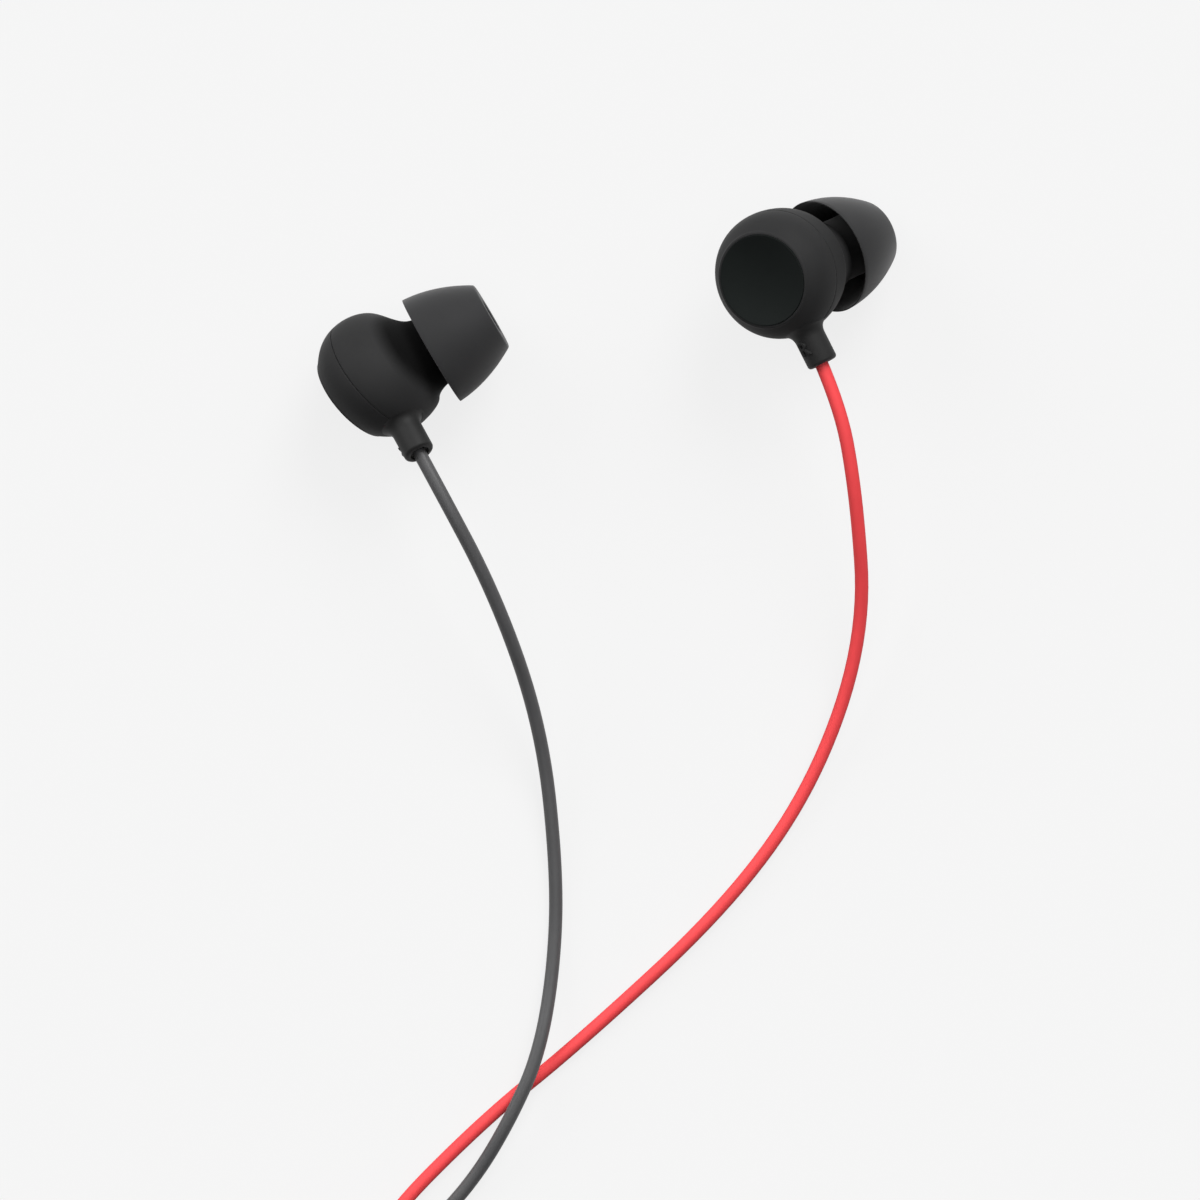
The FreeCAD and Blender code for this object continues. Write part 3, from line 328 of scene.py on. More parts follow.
def hank_points(route, winding, half_length, turn):
    """Control points of a hank that goes on from a route's end, and the point and heading at its own end."""
    step = winding["step"]
    folds = winding["folds"]
    start = Vector(route[-1])
    heading = (start - Vector(route[-2])).normalized()
    along = Matrix.Rotation(-turn * HANK_LEAN, 3, "Z") @ heading
    across = Matrix.Rotation(turn * math.pi / 2, 3, "Z") @ along
    innermost = winding["inner"] - step / 4
    reaches = [innermost + step / 2 * (folds[0] - number) for number in range(folds[0] + 1)]
    reaches += [innermost + step / 2 * (number + 1) for number in range(folds[1])]
    middle = start + along * (half_length - reaches[0] * math.sin(HANK_LEAN))
    middle += across * (reaches[0] * math.cos(HANK_LEAN))
    sides = [-reach if number % 2 == 0 else reach for number, reach in enumerate(reaches)]

    def at(forward, sideways, height):
        return middle + along * forward + across * sideways + Vector((0, 0, height))

    def fold(number):
        centre = (sides[number] + sides[number + 1]) / 2
        radius = abs(sides[number + 1] - sides[number]) / 2
        return centre, radius, 1 if number % 2 == 0 else -1

    points = []
    turn_step = (math.pi + 2 * HANK_LEAN) / FOLD_POINTS
    for number in range(len(sides)):
        outward = math.copysign(1, sides[number])
        waist = abs(sides[number]) - half_length * math.tan(HANK_LEAN)
        climbing = number == folds[0]
        height = step * (0.5 if climbing else number > folds[0])
        points.append(at(0, outward * waist, height))
        if number == len(sides) - 1:
            break
        centre, radius, end = fold(number)
        height = step * (number >= folds[0])
        corner = radius / math.cos(turn_step / 2)
        for place in range(-1, FOLD_POINTS + 1):
            angle = -HANK_LEAN + turn_step * (place + 0.5)
            if place in (-1, FOLD_POINTS):
                nearest = -HANK_LEAN if place < 0 else math.pi + HANK_LEAN
                back = Vector((-math.sin(nearest), math.cos(nearest))) * (radius * math.tan(turn_step / 2))
                back *= -1 if place < 0 else 1
                spot = Vector((math.cos(nearest), math.sin(nearest))) * radius + back
            else:
                spot = Vector((math.cos(angle), math.sin(angle))) * corner
            points.append(at(end * (half_length + spot.y), centre + outward * spot.x, height))
    last = len(sides) - 1
    centre, radius, end = fold(last - 1)
    gate = Vector((half_length - radius * math.sin(HANK_LEAN), radius * math.cos(HANK_LEAN)))
    side = math.copysign(1, sides[last])
    finish = at(-end * gate.x, centre + side * gate.y, step)
    way = along * (-end * math.cos(HANK_LEAN)) + across * (side * math.sin(HANK_LEAN))
    return points, finish, way


def cord_curve(name, points, diameter):
    """A cord on one smooth spline through its route's control points, as thick as its points' radius says."""
    data = bpy.data.curves.new(name, "CURVE")
    data.dimensions = "3D"
    data.bevel_depth = 1.0
    data.bevel_resolution = 6
    data.resolution_u = 10
    data.use_fill_caps = True
    spline = data.splines.new("NURBS")
    spline.points.add(len(points) - 1)
    for place, point in zip(spline.points, points):
        place.co = (*point, 1)
        place.radius = diameter / 2
    spline.order_u = 3
    spline.use_endpoint_u = True
    cord = bpy.data.objects.new(name, data)
    bpy.context.scene.collection.objects.link(cord)
    return cord


def full_cord(name, route, winding, half_length, turn, tail, diameter):
    """Free stretch, hank and tail of a cord, as one spline."""
    hank, finish, way = hank_points(route, winding, half_length, turn)
    straight, rest = tail
    points = [Vector(point) for point in route] + hank
    points += [finish, finish + way * straight] + [Vector(point) for point in rest]
    return cord_curve(name, points, diameter)


def make_cords():
    """Both branch cords and the main cord."""
    plug = [name for name in frame["nodes"] if name.startswith("plug_")]
    for name, route, winding, half_length, turn, tail, diameter, length, slot, nodes, far_end, others in (
        ("left_branch", LEFT_ROUTE, BRANCH_WINDING, LEFT_HALF_LENGTH, 1, LEFT_TAIL,
         BRANCH_DIAMETER, LEFT_LENGTH, "cord_dark", ("left_cord", "left_hank", "left_tail"),
         "fitting", ["splitter_shell", "cord_ties"]),
        ("right_branch", RIGHT_ROUTE, BRANCH_WINDING, RIGHT_HALF_LENGTH, -1, RIGHT_TAIL,
         BRANCH_DIAMETER, RIGHT_LENGTH, "cord_red", ("right_cord", "right_hank", "right_tail"),
         "fitting", ["splitter_core"]),
        ("main_cord", MAIN_ROUTE, MAIN_WINDING, MAIN_HALF_LENGTH, -1, MAIN_TAIL,
         MAIN_DIAMETER, MAIN_LENGTH, "cord_dark", ("main_lead", "main_hank", "main_tail"),
         "plug", plug),
    ):
        cord = full_cord(name, route, winding, half_length, turn, tail, diameter)
        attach(cord, "root")
        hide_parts(*nodes)
        cord.data.materials.append(MATERIALS[slot])


def maths(nodes, links, operation, *values):
    """A maths node whose inputs are each a number or another node's output, and its own output."""
    node = nodes.new("ShaderNodeMath")
    node.operation = operation
    for socket, value in zip(node.inputs, values):
        if isinstance(value, float):
            socket.default_value = value
        else:
            links.new(value, socket)
    return node.outputs[0]


def grain_and_shade_group():
    """Fine moulded grain: a little colour, roughness and height that change over the surface, and painted shade
    that darkens the colour where the piece is marked inside.
    """
    group = bpy.data.node_groups.new("moulded_grain_and_painted_shade", "ShaderNodeTree")
    for way, sockets in (
        ("INPUT", (("Place", "Vector"), ("Colour", "Color"), ("Spread", "Float"), ("Roughness", "Float"),
                   ("Size", "Float"), ("Depth", "Float"), ("Inside", "Float"))),
        ("OUTPUT", (("Colour", "Color"), ("Roughness", "Float"), ("Normal", "Vector"))),
    ):
        for name, kind in sockets:
            group.interface.new_socket(name, in_out=way, socket_type=f"NodeSocket{kind}")
    nodes = group.nodes
    links = group.links
    given = nodes.new("NodeGroupInput").outputs
    made = nodes.new("NodeGroupOutput").inputs
    fine = nodes.new("ShaderNodeTexNoise")
    fine.inputs["Detail"].default_value = 3.0
    links.new(given["Place"], fine.inputs["Vector"])
    links.new(maths(nodes, links, "DIVIDE", 1.0, given["Size"]), fine.inputs["Scale"])
    broad = nodes.new("ShaderNodeTexNoise")
    broad.inputs["Scale"].default_value = PATCH_SCALE
    broad.inputs["Detail"].default_value = 2.0
    links.new(given["Place"], broad.inputs["Vector"])
    swing = maths(nodes, links, "SUBTRACT", broad.outputs["Fac"], 0.5)
    patch = maths(nodes, links, "MULTIPLY_ADD", swing, given["Spread"], 1.0)
    # Painted shade: the colour darkens and the surface roughens where the piece is marked inside, in the tip's
    # hollow and at the neck
    dark = maths(nodes, links, "MULTIPLY_ADD", given["Inside"], -PAINTED_SHADE_STRENGTH, 1.0)
    tint = nodes.new("ShaderNodeHueSaturation")
    links.new(given["Colour"], tint.inputs["Color"])
    links.new(maths(nodes, links, "MULTIPLY", patch, dark), tint.inputs["Value"])
    links.new(tint.outputs["Color"], made["Colour"])
    rough = maths(nodes, links, "MULTIPLY_ADD", swing, PATCH_ROUGHNESS, given["Roughness"])
    rough = maths(nodes, links, "MULTIPLY_ADD", given["Inside"], INSIDE_ROUGHER, rough)
    links.new(rough, made["Roughness"])
    bump = nodes.new("ShaderNodeBump")
    bump.inputs["Strength"].default_value = 1.0
    links.new(given["Depth"], bump.inputs["Distance"])
    links.new(fine.outputs["Fac"], bump.inputs["Height"])
    links.new(bump.outputs["Normal"], made["Normal"])
    return group


def add_material(name, colour, roughness, grain, grain_size, spread,
                 metallic=0.0, sheen=0.0, specular=0.5, inside=False):
    """A material whose finish varies by a fine grain, with painted shade darkening it where the piece says that
    it is inside.
    """
    material = bpy.data.materials.new(name)
    material.use_nodes = True
    nodes = material.node_tree.nodes
    links = material.node_tree.links
    shader = nodes["Principled BSDF"].inputs
    shader["Metallic"].default_value = metallic
    shader["Sheen Weight"].default_value = sheen
    shader["Specular IOR Level"].default_value = specular
    finish = nodes.new("ShaderNodeGroup")
    finish.node_tree = GRAIN_AND_SHADE
    for socket, value in (("Colour", (*colour, 1)), ("Spread", spread), ("Roughness", roughness),
                          ("Size", grain_size), ("Depth", grain)):
        finish.inputs[socket].default_value = value
    place = nodes.new("ShaderNodeTexCoord")
    links.new(place.outputs["Object"], finish.inputs["Place"])
    # Painted shade, read from the piece's 'inside' attribute
    if inside:
        painted_shade_mask = nodes.new("ShaderNodeAttribute")
        painted_shade_mask.attribute_name = "inside"
        links.new(painted_shade_mask.outputs["Fac"], finish.inputs["Inside"])
    for made, socket in (("Colour", "Base Color"), ("Roughness", "Roughness"), ("Normal", "Normal")):
        links.new(finish.outputs[made], shader[socket])
    MATERIALS[name] = material


GRAIN_AND_SHADE = grain_and_shade_group()
MATERIALS = {}
# inside=True paints shade into the tip's hollow and onto the housing's neck
# Each by its slot's name, colour, roughness, grain's height and size, and how far the colour spreads
add_material("housing_black", (0.0255, 0.0255, 0.026), 0.60, 4e-6, 6e-5, 0.25,
             sheen=0.06, specular=0.08, inside=True)
add_material("disc_black", (0.0120, 0.0142, 0.0136), 0.55, 2e-6, 4e-5, 0.2, specular=0.04)
add_material("tip_silicone", (0.028, 0.028, 0.029), 0.58, 3e-6, 1e-4, 0.2,
             sheen=0.28, specular=0.08, inside=True)
add_material("relief_black", (0.0135, 0.0135, 0.0135), 0.58, 3e-6, 8e-5, 0.25, sheen=0.06, specular=0.25)
add_material("cord_dark", (0.080, 0.080, 0.082), 0.50, 6e-7, 1.5e-4, 0.2, sheen=0.1, specular=0.35)
add_material("cord_red", (0.94, 0.072, 0.080), 0.60, 4e-7, 1.5e-4, 0.12, specular=0.3)
add_material("tie_black", (0.012, 0.012, 0.012), 0.6, 4e-6, 1e-4, 0.2)
add_material("crimp_brass", (0.62, 0.46, 0.2), 0.3, 2e-6, 8e-5, 0.2, metallic=1.0)
add_material("driver_plastic", (0.06, 0.06, 0.06), 0.5, 2e-6, 8e-5, 0.2)
add_material("plated_steel", (0.55, 0.55, 0.54), 0.32, 2e-6, 8e-5, 0.2, metallic=1.0)
add_material("magnet_metal", (0.42, 0.42, 0.43), 0.28, 2e-6, 8e-5, 0.2, metallic=1.0)
add_material("copper_wire", (0.6, 0.28, 0.12), 0.35, 3e-6, 8e-5, 0.3, metallic=1.0)
add_material("film", (0.55, 0.5, 0.4), 0.3, 1e-6, 8e-5, 0.2)
add_material("board_green", (0.03, 0.2, 0.08), 0.35, 2e-6, 8e-5, 0.3)
add_material("paper", (0.75, 0.73, 0.68), 0.9, 8e-6, 8e-5, 0.2)
add_material("foam", (0.08, 0.08, 0.08), 0.9, 1e-5, 1e-4, 0.3)
add_material("mesh_steel", (0.3, 0.3, 0.3), 0.4, 1e-5, 6e-5, 0.3, metallic=1.0)
add_material("plug_metal", (0.72, 0.72, 0.7), 0.18, 5e-7, 6e-5, 0.08, metallic=1.0)
add_material("insulator", (0.02, 0.02, 0.02), 0.4, 1e-6, 6e-5, 0.2)


def chain(points, closed=True):
    """A line of vertices through points along X and Y, drawn out from a single one."""
    deselect()
    bpy.ops.mesh.primitive_plane_add(size=1)
    bpy.ops.object.mode_set(mode="EDIT")
    bpy.ops.mesh.merge(type="CENTER")
    bpy.ops.transform.translate(value=(*points[0], 0))
    for here, there in zip(points, points[1:]):
        step = (there[0] - here[0], there[1] - here[1], 0)
        bpy.ops.mesh.extrude_region_move(TRANSFORM_OT_translate={"value": step})
    piece = bpy.context.object
    if closed:
        pick(piece, lambda place: near(place, points[0]) or near(place, points[-1]))
        bpy.ops.mesh.edge_face_add()
    return piece


def near(place, point, reach=0.002):
    """Whether a vertex lies at a point of the outline."""
    return abs(place.x - point[0]) < reach and abs(place.y - point[1]) < reach


def paint_shade_inside(piece, depth):
    """Writes how far inside a piece each vertex lies, from 0 to 1, which paints shade into its colour there."""
    layer = piece.data.attributes.new("inside", "FLOAT", "POINT")
    for vertex in piece.data.vertices:
        layer.data[vertex.index].value = min(max(depth(vertex.co), 0.0), 1.0)


def pick(piece, wanted):
    """Selects the vertices of a piece in edit mode by their place."""
    bpy.ops.mesh.select_mode(type="VERT")
    bpy.ops.mesh.select_all(action="DESELECT")
    mesh = bmesh.from_edit_mesh(piece.data)
    for vertex in mesh.verts:
        vertex.select = bool(wanted(vertex.co))
    mesh.select_flush_mode()
    bmesh.update_edit_mesh(piece.data)


def ease(piece, point, width, steps=3):
    """Rounds one corner of an outline."""
    pick(piece, lambda place: near(place, point))
    bpy.ops.mesh.bevel(offset=width, segments=steps, affect="VERTICES")


def spin_round(steps=ROUND_STEPS):
    """Spins an outline round the X axis into a closed skin, and returns to object mode."""
    bpy.ops.mesh.select_all(action="SELECT")
    bpy.ops.mesh.spin(steps=steps, angle=2 * math.pi, center=(0, 0, 0), axis=(1, 0, 0))
    close_skin()


def close_skin():
    """Merges doubled vertices, turns the faces outwards and returns to object mode."""
    bpy.ops.mesh.select_all(action="SELECT")
    bpy.ops.mesh.remove_doubles(threshold=0.0004)
    bpy.ops.mesh.normals_make_consistent(inside=False)
    bpy.ops.object.mode_set(mode="OBJECT")


def smooth(piece):
    """Smooth shading that keeps the sharper edges."""
    take(piece)
    bpy.ops.object.shade_smooth_by_angle(angle=SMOOTH_ANGLE)


def bud_place(side):
    """Turns a piece from the bud's own frame to the way that the bud lies."""
    bud = BUDS[side]
    forward = Vector(bud["forward"]).normalized()
    up = -Vector(bud["stem"])
    up = (up - forward * up.dot(forward)).normalized()
    across = up.cross(forward) * (-1 if bud["mirrored"] else 1)
    turn = Matrix((forward, across, up)).transposed().to_4x4()
    return Matrix.Translation(Vector(bud["middle"]) * MM) @ turn @ Matrix.Scale(MM, 4)


def nozzle_place(forward):
    """From along X to along the nozzle, some way from the neck."""
    lean = Matrix.Rotation(NOZZLE_LEAN, 4, "Z")
    return Matrix.Translation(NECK) @ lean @ Matrix.Translation((forward, 0, 0))


def stem_place():
    """From along X to along the stem, downwards from the middle of the housing."""
    return Matrix.Translation((-SEAM_BACK, 0, 0)) @ Matrix.Rotation(math.pi / 2, 4, "Y")


def set_in(piece, place):
    """Moves a piece's mesh by a matrix, with its faces still outwards."""
    piece.matrix_world = place
    apply_place(piece)
    bpy.ops.object.mode_set(mode="EDIT")
    bpy.ops.mesh.select_all(action="SELECT")
    bpy.ops.mesh.normals_make_consistent(inside=False)
    bpy.ops.object.mode_set(mode="OBJECT")


def lay_in_buds(piece, name, body, slot):
    """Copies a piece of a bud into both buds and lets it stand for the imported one."""
    for side in BUDS:
        copy = copy_of(piece)
        copy.name = f"{side}_{name}_form"
        set_in(copy, bud_place(side))
        smooth(copy)
        finish_piece(copy, body.format(side=side), slot, f"{side}_{name}")
    bpy.data.objects.remove(piece)


def finish_piece(piece, body, slot, node):
    """Body and material of a finished piece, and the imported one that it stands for."""
    piece.data.materials.clear()
    piece.data.materials.append(MATERIALS[slot])
    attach(piece, body)
    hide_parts(node)


def tip_radius(distance):
    """Outer radius of the ear tip at a distance from its skirt's rim."""
    share = distance / TIP_LENGTH
    return SKIRT_RADIUS + (NOSE_RADIUS - SKIRT_RADIUS) * share + 4 * TIP_BULGE * share * (1 - share)


def make_ear_tips():
    """Moulded tips: a domed skirt that thins to its rim, round the sleeve that grips the nozzle."""
    outer = []
    for step in range(TIP_STEPS + 1):
        along = TIP_LENGTH * step / TIP_STEPS
        outer.append((along, tip_radius(along)))
    inner = []
    for step in range(SKIRT_STEPS, -1, -1):
        depth = SKIRT_DEPTH * step / SKIRT_STEPS
        wall = RIM_WALL + (SKIRT_WALL - RIM_WALL) * min(depth / RIM_TAPER, 1)
        inner.append((depth, tip_radius(depth) - wall))
    sleeve = [
        (TIP_LENGTH, TIP_MOUTH), (CORE_STOP, TIP_MOUTH), (CORE_STOP, CORE_BORE), (CORE_FOOT, CORE_BORE),
        (CORE_FOOT, CORE_RADIUS), (SKIRT_DEPTH, CORE_RADIUS),
    ]
    tip = chain(outer + sleeve + inner)
    ease(tip, outer[0], RIM_ROUND, 2)
    ease(tip, inner[-1], RIM_ROUND, 2)
    ease(tip, outer[-1], NOSE_ROUND, 4)
    ease(tip, sleeve[0], MOUTH_ROUND, 5)
    for point in (sleeve[3], sleeve[4], sleeve[5], inner[0]):
        ease(tip, point, SLEEVE_ROUND, 3)
    spin_round()
    # Painted shade in the tip's hollow, under the skirt
    paint_shade_inside(tip, lambda place: place.x < SKIRT_DEPTH + PAINTED_SHADE_REACH
                 and math.hypot(place.y, place.z) < tip_radius(place.x) - PAINTED_SHADE_WALL)
    set_in(tip, nozzle_place(SKIRT_FORWARD))
    lay_in_buds(tip, "ear_tip", "{side}_tip", "tip_silicone")


def housing_ring(forward):
    """The housing's ring that crosses a place forward, on a smooth run through the given rings."""
    rows = HOUSING_RINGS
    knots = [0.0]
    for last, row in zip(rows, rows[1:]):
        knots.append(knots[-1] + math.dist((last[0], last[1], last[4]), (row[0], row[1], row[4])))
    spans = [after - before for before, after in zip(knots, knots[1:])]
    count = len(rows)
    system = [[0.0] * count for _ in rows]
    system[0][0] = system[-1][-1] = 1.0
    for place in range(1, count - 1):
        system[place][place - 1] = spans[place - 1]
        system[place][place] = 2 * (spans[place - 1] + spans[place])
        system[place][place + 1] = spans[place]
    bends = []
    for column in zip(*rows):
        slopes = [(b - a) / span for a, b, span in zip(column, column[1:], spans)]
        sides = [0.0] + [6 * (after - before) for before, after in zip(slopes, slopes[1:])] + [0.0]
        bends.append(numpy.linalg.solve(system, sides))

    def at(run):
        place = min(max(index for index, knot in enumerate(knots) if knot <= run), count - 2)
        span = spans[place]
        ahead = (run - knots[place]) / span
        back = 1 - ahead
        values = []
        for column, bend in zip(zip(*rows), bends):
            values.append(back * column[place] + ahead * column[place + 1] + span**2 / 6 * (
                (back**3 - back) * bend[place] + (ahead**3 - ahead) * bend[place + 1]))
        return values

    low, high = 0.0, knots[-1]
    for _ in range(40):
        middle = (low + high) / 2
        if at(middle)[0] < forward:
            low = middle
        else:
            high = middle
    return at((low + high) / 2)


def ring_chain(rings):
    """A skin drawn from a circle through rings, each extruded, moved, tilted and resized from the last."""
    forward, across, up, tilt, radius = rings[0]
    deselect()
    bpy.ops.mesh.primitive_circle_add(vertices=ROUND_STEPS, radius=radius, rotation=(0, math.pi / 2, 0))
    skin = apply_place(bpy.context.object)
    bpy.ops.object.mode_set(mode="EDIT")
    bpy.ops.mesh.select_all(action="SELECT")
    bpy.ops.transform.rotate(value=-tilt, orient_axis="Z", center_override=(0, 0, 0))
    bpy.ops.transform.translate(value=(forward, across, up))
    for last, ring in zip(rings, rings[1:]):
        step = [after - before for before, after in zip(last, ring)]
        bpy.ops.mesh.extrude_region_move(TRANSFORM_OT_translate={"value": step[:3]})
        centre = ring[:3]
        scale = ring[4] / last[4]
        bpy.ops.transform.resize(value=(scale, scale, scale), center_override=centre)
        if abs(step[3]) > 1e-9:
            bpy.ops.transform.rotate(value=-step[3], orient_axis="Z", center_override=centre)
    return skin


def seam_round(start, way):
    """The rings that round a shell's edge, from a place at the seam forwards or backwards."""
    rings = []
    for along, under in SEAM_ROUND:
        ring = housing_ring(start + way * SEAM_EDGE * along)
        ring[4] -= SEAM_EDGE * under
        rings.append(ring)
    return rings


def housing_run(start, end, steps):
    """Rings of the housing from one place to another, both included."""
    return [housing_ring(start + (end - start) * step / steps) for step in range(steps + 1)]


def centred(*rings):
    """Upright rings round the housing's own axis, by place and radius."""
    return [[place, 0, 0, 0, radius] for place, radius in rings]


def make_front_shells():
    """Front halves of the housing, with a ledge at the seam, the neck and the leaning nozzle with its lip."""
    rim = housing_ring(-SEAM_BACK)[4]
    foot, top = (rim - depth for depth in SEAM_LEDGE)
    ledge = -SEAM_BACK - SEAM_GAP + LEDGE_ROOM
    lap = -SEAM_BACK + LAP_LENGTH
    rings = centred(
        (lap, LAP_RADIUS + LAP_ROOM), (-SEAM_BACK, LAP_RADIUS + LAP_ROOM), (-SEAM_BACK, foot), (ledge, foot),
        (ledge, top), (-SEAM_BACK, top), (-SEAM_BACK, rim - SEAM_EDGE))
    rings += seam_round(-SEAM_BACK, 1)
    rings += housing_run(-SEAM_BACK + SEAM_EDGE, HOUSING_RINGS[-1][0], FRONT_STEPS)[1:-1]
    rings.append(list(HOUSING_RINGS[-1]))
    way = Vector((math.cos(NOZZLE_LEAN), math.sin(NOZZLE_LEAN), 0))
    collar = Vector(HOUSING_RINGS[-1][:3])
    lip = NOZZLE_LENGTH - LIP_LENGTH
    seat = NOZZLE_LENGTH - MESH_SEAT
    for along, radius in (
        (0.0, NOZZLE_RADIUS), (lip, NOZZLE_RADIUS), (lip, NOZZLE_RADIUS + LIP_HEIGHT),
        (NOZZLE_LENGTH - LIP_HEIGHT, NOZZLE_RADIUS + LIP_HEIGHT), (NOZZLE_LENGTH, NOZZLE_RADIUS),
        (NOZZLE_LENGTH, NOZZLE_BORE + MESH_SEAT), (seat, NOZZLE_BORE + MESH_SEAT),
        (seat, NOZZLE_BORE), (0.0, NOZZLE_BORE),
    ):
        rings.append([*(collar + way * along), NOZZLE_LEAN, radius])
    rings.append([*CHAMBER_FRONT, 0, 0, CHAMBER_RADIUS])
    rings += centred((CHAMBER_BACK, CHAMBER_RADIUS), (CHAMBER_BACK, CAVITY_RADIUS), (lap, CAVITY_RADIUS))
    shell = ring_chain(rings)
    bridge_ends(shell, rings[0], rings[-1])
    # Painted shade over the neck, where the tip's skirt shades the housing
    back, length = NECK_PAINTED_SHADE
    paint_shade_inside(shell, lambda place: (place.x - NECK.x + back) / length)
    lay_in_buds(shell, "front_shell", "root", "housing_black")


def make_rear_shells():
    """Rear halves of the housing, with the spigot that laps the seam and the rounded seat of the disc."""
    seam = -SEAM_BACK - SEAM_GAP
    back = HOUSING_RINGS[0][0]
    spigot = -SEAM_BACK + SPIGOT_LENGTH
    *at, rim = housing_ring(seam)
    rings = [[*at, LAP_RADIUS], [*at, rim - SEAM_EDGE]]
    rings += seam_round(seam, -1)
    rings += housing_run(seam - SEAM_EDGE, back, REAR_STEPS)
    lip = DISC_SEAT_RADIUS + DISC_SEAT_ROUND
    for share in (0.25, 0.5, 0.75, 1.0):
        turn = math.pi / 2 * share
        radius = lip + (HOUSING_RINGS[0][4] - lip) * math.cos(turn)
        rings += centred((back - DISC_SEAT_LIP * math.sin(turn), radius))
    rings += centred(
        (back - DISC_SEAT_LIP + DISC_SEAT_ROUND, DISC_SEAT_RADIUS), (-DISC_SEAT_DEPTH, DISC_SEAT_RADIUS),
        (-DISC_SEAT_DEPTH, CAVITY_RADIUS), (spigot, CAVITY_RADIUS), (spigot, LAP_RADIUS))
    shell = ring_chain(rings)
    bridge_ends(shell, rings[0], rings[-1])
    lay_in_buds(shell, "rear_shell", "root", "housing_black")


def bridge_ends(piece, first, last):
    """Bridges the first and the last ring of a skin, so that it closes, and turns its faces outwards."""
    def on_ring(place, ring):
        radius = math.hypot(place.y - ring[1], place.z - ring[2])
        return abs(place.x - ring[0]) < 0.002 and abs(radius - ring[4]) < 0.004

    pick(piece, lambda place: on_ring(place, first) or on_ring(place, last))
    bpy.ops.mesh.bridge_edge_loops()
    close_skin()


def make_rear_discs():
    """Dished disc with a narrow flat rim and an eased edge."""
    face = -DISC_FACE
    dish = []
    for step in range(DISH_STEPS, -1, -1):
        share = step / DISH_STEPS
        dish.append((face + DISH_DEPTH * (1 - share**2), DISH_RADIUS * share))
    points = [(-DISC_FLOOR, 0), (-DISC_FLOOR, DISC_RADIUS), (face, DISC_RADIUS)] + dish
    disc = chain(points, closed=False)
    ease(disc, points[2], DISC_ROUND, 3)
    ease(disc, dish[0], DISH_ROUND, 2)
    spin_round()
    lay_in_buds(disc, "rear_disc", "root", "disc_black")


def make_stems():
    """Strain relief: a flared root, a rounded end with a recess for the cord, and small raised marks."""
    flare_radius = STEM_RADIUS + STEM_FLARE
    body = HOUSING_RINGS[2][4]
    flare_start = math.sqrt((body + STEM_FLARE) ** 2 - flare_radius**2)
    bend = math.atan2(flare_start, flare_radius)
    flare = []
    for step in range(FLARE_STEPS + 1):
        turn = bend * (1 - step / FLARE_STEPS)
        flare.append((flare_start - STEM_FLARE * math.sin(turn), flare_radius - STEM_FLARE * math.cos(turn)))
    inside = flare[0][0] - ROOT_DEPTH
    points = [(inside, STEM_BORE), (inside, flare[0][1])] + flare + [
        (STEM_LENGTH, STEM_RADIUS), (STEM_LENGTH, RECESS_RADIUS),
        (STEM_LENGTH - RECESS_DEPTH, RECESS_RADIUS), (STEM_LENGTH - RECESS_DEPTH, STEM_BORE),
    ]
    relief = chain(points)
    ease(relief, (STEM_LENGTH, STEM_RADIUS), STEM_ROUND, 5)
    ease(relief, (STEM_LENGTH, RECESS_RADIUS), RECESS_ROUND, 3)
    spin_round(STEM_STEPS)
    set_in(relief, stem_place())
    fit_root(relief, flare)
    for side, letter in (("left", "L"), ("right", "R")):
        stem = copy_of(relief)
        parts = [raised_letter(letter, LETTER_PROUD[side], BUDS[side]["mirrored"])]
        if side == "left":
            parts.append(raised_nub())
        take(stem)
        for part in parts:
            part.select_set(True)
        bpy.ops.object.join()
        stem.name = f"{side}_stem_form"
        set_in(stem, bud_place(side))
        smooth(stem)
        finish_piece(stem, "root", "relief_black", f"{side}_stem")
    bpy.data.objects.remove(relief)


def fit_root(relief, flare):
    """Draws the flared root onto the housing's skin, most at its edge, so that they meet without a step."""
    skin = ring_chain(housing_run(HOUSING_RINGS[0][0], HOUSING_RINGS[-1][0], SKIN_STEPS))
    close_skin()
    take(relief)
    root = relief.vertex_groups.new(name="root")

    def turned(place):
        return Vector((-place.z, math.hypot(place.x + SEAM_BACK, place.y), 0))

    for number, point in enumerate(flare[:-1]):
        ring = [vertex.index for vertex in relief.data.vertices if near(turned(vertex.co), point)]
        root.add(ring, (1 - number / FLARE_STEPS) ** 2, "REPLACE")
    wrap = relief.modifiers.new("root_fit", "SHRINKWRAP")
    wrap.target = skin
    wrap.vertex_group = "root"
    wrap.wrap_method = "PROJECT"
    wrap.use_project_z = True
    wrap.use_negative_direction = True
    wrap.use_positive_direction = True
    wrap.offset = -ROOT_SINK
    bpy.ops.object.modifier_apply(modifier="root_fit")
    bpy.data.objects.remove(skin)


def raised_letter(letter, proud, mirrored):
    """A generic side letter standing a little proud of the stem's back, its top towards the housing."""
    deselect()
    bpy.ops.object.text_add()
    text = bpy.context.object
    text.data.body = letter
    text.data.size = LETTER_HEIGHT / CAPITAL_SHARE
    text.data.align_x = "CENTER"
    text.data.align_y = "CENTER"
    text.data.extrude = LETTER_DEPTH
    text.data.bevel_depth = LETTER_EDGE
    text.data.bevel_resolution = 1
    text.data.resolution_u = 4
    bpy.ops.object.convert(target="MESH")
    mark = bpy.context.object
    turn = Matrix(((0, 0, -1), (1 if mirrored else -1, 0, 0), (0, 1, 0))).to_4x4()
    swing = Matrix.Rotation(LETTER_TURN, 4, "Z")
    sunk = Matrix.Translation((-STEM_RADIUS + LETTER_DEPTH + LETTER_EDGE - proud, 0, -LETTER_PLACE))
    mark.matrix_world = Matrix.Translation((-SEAM_BACK, 0, 0)) @ swing @ sunk @ turn
    return apply_place(mark)


